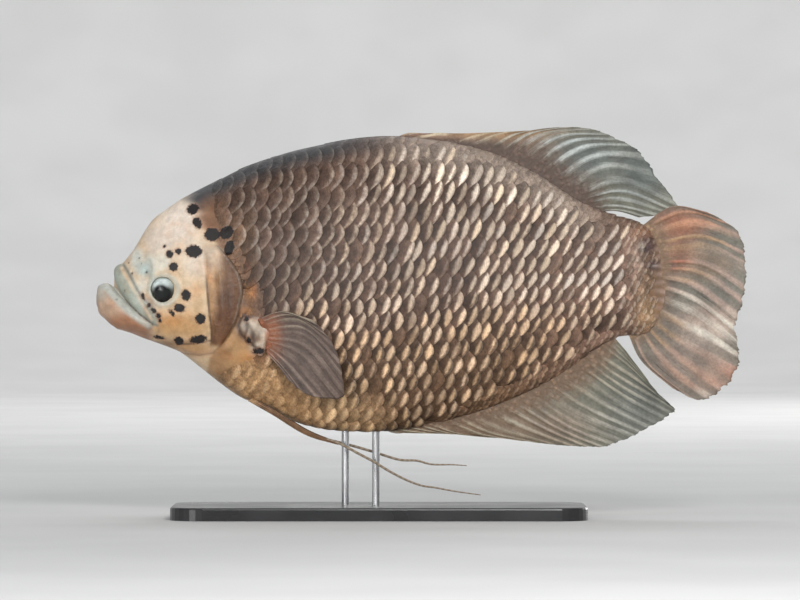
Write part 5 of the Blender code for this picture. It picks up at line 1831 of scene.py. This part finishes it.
def build_paired_fins(settings):
    """Pectoral fins, pelvic fins and the long pelvic feelers."""
    lays = {"pectoral": beside, "pelvic": below}
    looks = {word: fin_material(word, fin) for word, fin in PAIRED_FINS.items()}
    for side, hand in SIDES:
        for word, fin in PAIRED_FINS.items():
            name = "%s_skin_%s" % (word, hand)
            mesh = dressed_fin(name, fin, lays[word](side), settings.fin_rows)
            add_piece(name, mesh, looks[word], ("%s_fin_%s" % (word, hand),))
    thread = thread_material()
    for path, word in ((LEFT_FILAMENT, "left"), (RIGHT_FILAMENT, "right")):
        mesh = filament_mesh("filament_" + word, refined(path, FILAMENT_POINTS), FILAMENT_SIDES)
        add_piece("filament_" + word, mesh, thread, ("pelvic_filament_" + word,))


def thread_material():
    """Jointed feeler, pale buff with brown joints."""
    s = Shader("feeler_skin")
    fine = s.noise(500.0, 3.0)
    rings = s.maths("SINE", s.maths("MULTIPLY", s.attribute("along"), JOINT_WAVES))
    rings = s.stray(rings, s.noise(240.0, 3.0), 4.0)
    colour = s.mix(s.ramp(rings, -1.4, 1.6), TINTS["joint"], TONES["feeler"])
    colour = s.vary(colour, fine, 0.3, 0.7, 0.85, 1.1)
    return s.finish(colour, s.ramp(fine, 0.3, 0.7, 0.4, 0.55), fine, 0.0002)


def filament_mesh(name, path, sides):
    """Jointed thread along a path of x, y, z and radius."""
    run = np.gradient(path[:, :3], axis=0)
    run /= np.linalg.norm(run, axis=1, keepdims=True)
    across = np.cross(run, (0.0, 1.0, 0.0))
    across /= np.linalg.norm(across, axis=1, keepdims=True)
    up = np.cross(across, run)
    angle = np.linspace(0.0, 2.0 * np.pi, sides, endpoint=False)
    radius = path[:, 3] * (1.0 + 0.03 * np.cos(np.arange(len(path)) * 2.1))
    ring = np.cos(angle)[None, :, None] * across[:, None] + np.sin(angle)[None, :, None] * up[:, None]
    points = path[:, None, :3] + ring * radius[:, None, None]
    count = len(path)
    points = np.concatenate((points.reshape(-1, 3), path[:1, :3], path[-1:, :3]))
    index = np.arange(count * sides).reshape(count, sides)
    after = np.roll(index, -1, axis=1)
    quads = np.stack((index[:-1], after[:-1], after[1:], index[1:]), -1).reshape(-1, 4)
    triangles = np.concatenate((quads[:, :3], quads[:, (0, 2, 3)]))
    start = np.stack((np.full(sides, count * sides), after[0], index[0]), -1)
    end = np.stack((np.full(sides, count * sides + 1), index[-1], after[-1]), -1)
    mesh = make_mesh(name, points, np.concatenate((triangles, start, end)))
    outward(mesh)
    share = np.repeat(np.linspace(0.0, 1.0, count), sides)
    set_values(mesh, "along", np.concatenate((share, (0.0, 1.0))))
    return mesh


def eye_material():
    """Eyeball with a dark pupil and a silver blue iris, brightest above, its pale top partly a
    painted reflection, with a painted shadow line where the ball meets the skin.
    """
    s = Shader("gourami_eye")
    away = s.attribute("away")
    rise = s.attribute("rise")
    flow = s.noise(700.0, 4.0)
    pupil = s.ramp(s.maths("MULTIPLY_ADD", flow, 0.08, away), 0.62, 0.92)
    # The iris grows pale towards its top: partly its own silver blue, partly a painted reflection of
    # the light from above.
    iris = s.mix(s.ramp(rise, -0.20, 0.70), TONES["iris_low"], TONES["iris"])
    iris = s.mix(s.ramp(flow, 0.35, 0.65, 0.0, 0.15), iris, TINTS["iris_fleck"])
    colour = s.mix(pupil, TONES["pupil"], iris)
    orbit = s.mix(s.ramp(rise, -0.6, 0.3), TINTS["orbit_low"], TINTS["orbit_high"])
    colour = s.mix(s.ramp(away, 1.38, 1.46), colour, orbit)
    # Painted shadow in the gap where the ball meets the skin.
    line = s.ramp(s.maths("ABSOLUTE", s.maths("SUBTRACT", away, 1.40)), 0.06, 0.02, 0.0, 0.5)
    colour = s.mix(line, colour, TINTS["orbit_gap_shade"])
    return s.finish(colour, s.ramp(flow, 0.3, 0.7, 0.14, 0.24), flow, 0.0001, specular=0.4)


def cornea_material():
    """Clear wet window over the eye."""
    s = Shader("gourami_cornea")
    tint = s.mix(s.ramp(s.noise(200.0), 0.3, 0.7), TINTS["window"], TINTS["none"])
    s.surface.inputs["Transmission Weight"].default_value = 1.0
    s.surface.inputs["IOR"].default_value = 1.15
    return s.finish(tint, s.ramp(s.noise(120.0), 0.3, 0.7, 0.02, 0.05))


def build_eyes():
    """Eyeballs in their orbits, each under a clear window."""
    ball_look = eye_material()
    window = cornea_material()
    for side, word in SIDES:
        look = np.array((EYE_LOOK[0], -side * EYE_LOOK[1], EYE_LOOK[2]))
        look /= np.linalg.norm(look)
        centre = np.array((EYE_CENTRE[0], side * EYE_CENTRE[1], EYE_CENTRE[2]))
        mesh = sphere_mesh("eyeball_" + word, centre, EYE_RADIUS, *BALL_MESH)
        points = read_points(mesh) - centre
        unit = points / np.linalg.norm(points, axis=1, keepdims=True)
        set_values(mesh, "away", np.arccos(np.clip(unit @ look, -1.0, 1.0)))
        set_values(mesh, "rise", unit[:, 2])
        add_piece("eyeball_" + word, mesh, ball_look, ("eye_" + word,))
        out = np.array((0.0, side, 0.0)) * WINDOW_SHIFT
        mesh = sphere_mesh("cornea_" + word, centre + out, EYE_RADIUS + WINDOW_GROWTH, *WINDOW_MESH)
        add_piece("cornea_" + word, mesh, window)


def sphere_mesh(name, centre, radius, segments, rings):
    """Ball of a given radius."""
    mesh = bpy.data.meshes.new(name)
    work = bmesh.new()
    bmesh.ops.create_uvsphere(work, u_segments=segments, v_segments=rings, radius=radius * MM)
    bmesh.ops.rotate(work, verts=work.verts, cent=(0.0, 0.0, 0.0),
                     matrix=Vector((0.0, 1.0, 0.0)).to_track_quat("Z", "X").to_matrix())
    bmesh.ops.translate(work, verts=work.verts, vec=Vector(centre) * MM)
    work.to_mesh(mesh)
    work.free()
    mesh.polygons.foreach_set("use_smooth", np.ones(len(mesh.polygons), dtype=bool))
    return mesh


def stand_materials():
    """Satin black base and brushed steel rods."""
    s = Shader("stand_acrylic")
    haze = s.noise(14.0, 3.0)
    colour = s.mix(s.ramp(haze, 0.3, 0.7), TINTS["base_dark"], TINTS["base_pale"])
    speck = s.noise(1400.0, 3.0)
    base = s.finish(colour, s.ramp(haze, 0.3, 0.7, 0.26, 0.38), speck, 0.00008, 0.3)
    s = Shader("stand_steel")
    lines = s.noise(900.0, 3.0, 0.6, (1.0, 1.0, 0.04))
    colour = s.mix(s.ramp(lines, 0.3, 0.7), TINTS["rod_dark"], TINTS["rod_pale"])
    s.surface.inputs["Metallic"].default_value = 1.0
    rod = s.finish(colour, s.ramp(lines, 0.3, 0.7, 0.22, 0.36), lines, 0.00006)
    return base, rod


def build_stand():
    """Give the stand's own nodes their looks."""
    base, rod = stand_materials()
    for name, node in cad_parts.items():
        if not name.startswith("stand_"):
            continue
        node.data.materials.clear()
        node.data.materials.append(base if name == "stand_base" else rod)


def build_stage(scene, settings):
    """Pale floor and backdrop, soft lamps and the camera."""
    mesh = cove_mesh("studio_floor")
    s = Shader("studio_paper")
    soft = s.ramp(s.noise(3.0, 2.0), 0.3, 0.7)
    colour = s.mix(soft, TINTS["paper_dark"], TINTS["paper_pale"])
    mesh.materials.append(s.finish(colour, 0.9, s.noise(500.0), 0.0001))
    floor = bpy.data.objects.new("studio_floor", mesh)
    scene.collection.objects.link(floor)

    world = bpy.data.worlds.new("studio_world")
    world.use_nodes = True
    background = world.node_tree.nodes["Background"]
    background.inputs["Color"].default_value = TINTS["sky"] + (1.0,)
    background.inputs["Strength"].default_value = settings.fill
    scene.world = world
    for name, place, target, size, share in LAMPS:
        add_lamp(name, place, target, size, share * settings.key_power)
    scene.view_settings.view_transform = "Standard"
    add_camera(settings)


def cove_mesh(name):
    """Round floor that curves up into a wall on all sides."""
    profile = [(0.01, 0.0), (0.6, 0.0), (2.0, 0.0), (COVE_RADIUS - COVE_TURN, 0.0)]
    for step in range(1, COVE_STEPS + 1):
        angle = 0.5 * math.pi * step / COVE_STEPS
        profile.append((COVE_RADIUS - COVE_TURN * (1.0 - math.sin(angle)),
                        COVE_TURN * (1.0 - math.cos(angle))))
    profile.append((COVE_RADIUS, COVE_HEIGHT))
    turn = np.linspace(0.0, 2.0 * np.pi, COVE_SIDES, endpoint=False)
    radius, height = np.array(profile).T
    points = np.stack((radius[:, None] * np.cos(turn), radius[:, None] * np.sin(turn),
                       np.broadcast_to(height[:, None], (len(radius), COVE_SIDES))), -1)
    index = np.arange(len(radius) * COVE_SIDES).reshape(len(radius), COVE_SIDES)
    after = np.roll(index, -1, axis=1)
    faces = np.stack((index[:-1], index[1:], after[1:], after[:-1]), -1).reshape(-1, 4)
    return make_mesh(name, points.reshape(-1, 3) / MM, faces)


def add_lamp(name, place, target, size, power):
    """Square soft lamp aimed at a target."""
    lamp = bpy.data.lights.new(name, "AREA")
    lamp.size = size
    lamp.energy = power
    thing = bpy.data.objects.new(name, lamp)
    thing.location = place
    aim = Vector(target) - Vector(place)
    thing.rotation_euler = aim.to_track_quat("-Z", "Y").to_euler()
    thing.visible_camera = False
    bpy.context.scene.collection.objects.link(thing)


def add_camera(settings):
    """Level camera square to the left flank."""
    camera = bpy.data.cameras.new("camera")
    camera.sensor_width = SENSOR_WIDTH
    camera.lens = SENSOR_WIDTH * settings.camera_distance / PICTURE_WIDTH
    camera.clip_end = 50.0
    thing = bpy.data.objects.new("camera", camera)
    thing.location = (PICTURE_CENTRE[0], -settings.camera_distance, PICTURE_CENTRE[1])
    thing.rotation_euler = (math.radians(90.0), 0.0, 0.0)
    bpy.context.scene.collection.objects.link(thing)
    bpy.context.scene.camera = thing


class GouramiSettings(bpy.types.PropertyGroup):
    """Sizes and amounts that the model is driven by."""

    head_step: bpy.props.FloatProperty(
        name="Head detail", description="Grid step of the skin over the head",
        default=0.0014, min=0.0008, unit="LENGTH")
    flank_step: bpy.props.FloatProperty(
        name="Flank detail", description="Grid step of the skin along the flank",
        default=0.0034, min=0.001, unit="LENGTH")
    scale_pitch: bpy.props.FloatProperty(
        name="Scale pitch", description="Distance between scales in a row",
        default=0.0113, min=0.004, unit="LENGTH")
    fin_rows: bpy.props.IntProperty(
        name="Fin rows", description="Points along each fin ray", default=44, min=8)
    camera_distance: bpy.props.FloatProperty(
        name="Camera distance", description="From the camera to the middle plane",
        default=5.0, min=1.0, unit="LENGTH")
    key_power: bpy.props.FloatProperty(
        name="Key lamp", description="Power of the main lamp",
        default=46.0, min=0.0, unit="POWER")
    fill: bpy.props.FloatProperty(
        name="Fill light", description="Strength of the light from all sides",
        default=0.42, min=0.0, subtype="FACTOR")


def tone_property(tone, name, description):
    """Colour setting that starts at a named tone."""
    return bpy.props.FloatVectorProperty(
        name=name, description=description, default=TONES[tone], size=3,
        min=0.0, max=1.0, subtype="COLOR")


class GouramiColours(bpy.types.PropertyGroup):
    """Main colours of the fish, each named after its tone."""

    flank: tone_property("flank", "Flank", "Dark ground round the scales of the flank")
    rear: tone_property("rear", "Rear flank", "Ground round the scales towards the tail")
    belly: tone_property("belly", "Belly", "Skin under the belly")
    pale_mid: tone_property("pale_mid", "Scale faces", "Raised faces of the middle scales")
    forehead: tone_property("forehead", "Forehead", "Pale skin above the eye")
    cheek: tone_property("cheek", "Cheek", "Ground tone of the head")
    gill: tone_property("gill", "Gill cover", "Dark part of the gill cover")
    black: tone_property("black", "Blotches", "Black marks of the head")
    iris: tone_property("iris", "Iris", "Bright upper part of the iris")
    pewter: tone_property("pewter", "Back fin", "Raised folds of the back fin")
    khaki: tone_property("khaki", "Belly fin", "Raised folds of the fin under the tail")
    mauve: tone_property("mauve", "Tail fin", "Raised folds of the tail fin")
    umber: tone_property("umber", "Side fins", "Raised folds of the side fins")
    feeler: tone_property("feeler", "Feelers", "Skin between the feelers' joints")


def chosen(scene):
    """Settings of a scene, after its colours have gone into the table of tones."""
    for name in GouramiColours.__annotations__:
        TONES[name] = tuple(getattr(scene.gourami_colours, name))
    return scene.gourami


class GOURAMI_OT_skin(bpy.types.Operator):
    """Build the skin of head, trunk and tail stalk"""

    bl_idname = "gourami.skin"
    bl_label = "Build skin"

    def execute(self, context):
        build_skin(chosen(context.scene))
        return {"FINISHED"}


class GOURAMI_OT_scales(bpy.types.Operator):
    """Build the scales of both flanks"""

    bl_idname = "gourami.scales"
    bl_label = "Build scales"

    def execute(self, context):
        build_scales(chosen(context.scene))
        return {"FINISHED"}


class GOURAMI_OT_eyes(bpy.types.Operator):
    """Build the eyes"""

    bl_idname = "gourami.eyes"
    bl_label = "Build eyes"

    def execute(self, context):
        chosen(context.scene)
        build_eyes()
        return {"FINISHED"}


class GOURAMI_OT_fins(bpy.types.Operator):
    """Build the back, belly and tail fins"""

    bl_idname = "gourami.fins"
    bl_label = "Build upright fins"

    def execute(self, context):
        build_fins(chosen(context.scene))
        return {"FINISHED"}


class GOURAMI_OT_paired_fins(bpy.types.Operator):
    """Build the side fins, breast fins and feelers"""

    bl_idname = "gourami.paired_fins"
    bl_label = "Build paired fins"

    def execute(self, context):
        build_paired_fins(chosen(context.scene))
        return {"FINISHED"}


class GOURAMI_OT_stand(bpy.types.Operator):
    """Dress the base and rods of the stand"""

    bl_idname = "gourami.stand"
    bl_label = "Dress stand"

    def execute(self, context):
        build_stand()
        return {"FINISHED"}


class GOURAMI_OT_stage(bpy.types.Operator):
    """Build the studio floor, lamps and camera"""

    bl_idname = "gourami.stage"
    bl_label = "Build stage"

    def execute(self, context):
        build_stage(context.scene, context.scene.gourami)
        return {"FINISHED"}


OPERATORS = (
    GOURAMI_OT_skin, GOURAMI_OT_scales, GOURAMI_OT_eyes, GOURAMI_OT_fins,
    GOURAMI_OT_paired_fins, GOURAMI_OT_stand, GOURAMI_OT_stage,
)


class GOURAMI_PT_panel(bpy.types.Panel):
    """Lists the gourami's settings and build steps"""

    bl_label = "Giant Gourami"
    bl_idname = "GOURAMI_PT_panel"
    bl_space_type = "VIEW_3D"
    bl_region_type = "UI"
    bl_category = "Gourami"

    def draw(self, context):
        for group in (context.scene.gourami, context.scene.gourami_colours):
            for name in group.__annotations__:
                self.layout.prop(group, name)
        for operator in OPERATORS:
            self.layout.operator(operator.bl_idname)


CLASSES = (GouramiSettings, GouramiColours, *OPERATORS, GOURAMI_PT_panel)


def register():
    """Make the settings, operators and panel known."""
    for entry in CLASSES:
        bpy.utils.register_class(entry)
    bpy.types.Scene.gourami = bpy.props.PointerProperty(type=GouramiSettings)
    bpy.types.Scene.gourami_colours = bpy.props.PointerProperty(type=GouramiColours)


def unregister():
    """Take them away again."""
    del bpy.types.Scene.gourami_colours
    del bpy.types.Scene.gourami
    for entry in reversed(CLASSES):
        bpy.utils.unregister_class(entry)


def main():
    """Build everything in order."""
    register()
    bpy.ops.gourami.skin()
    bpy.ops.gourami.scales()
    bpy.ops.gourami.eyes()
    bpy.ops.gourami.fins()
    bpy.ops.gourami.paired_fins()
    bpy.ops.gourami.stand()
    bpy.ops.gourami.stage()


if __name__ == "__main__":
    main()
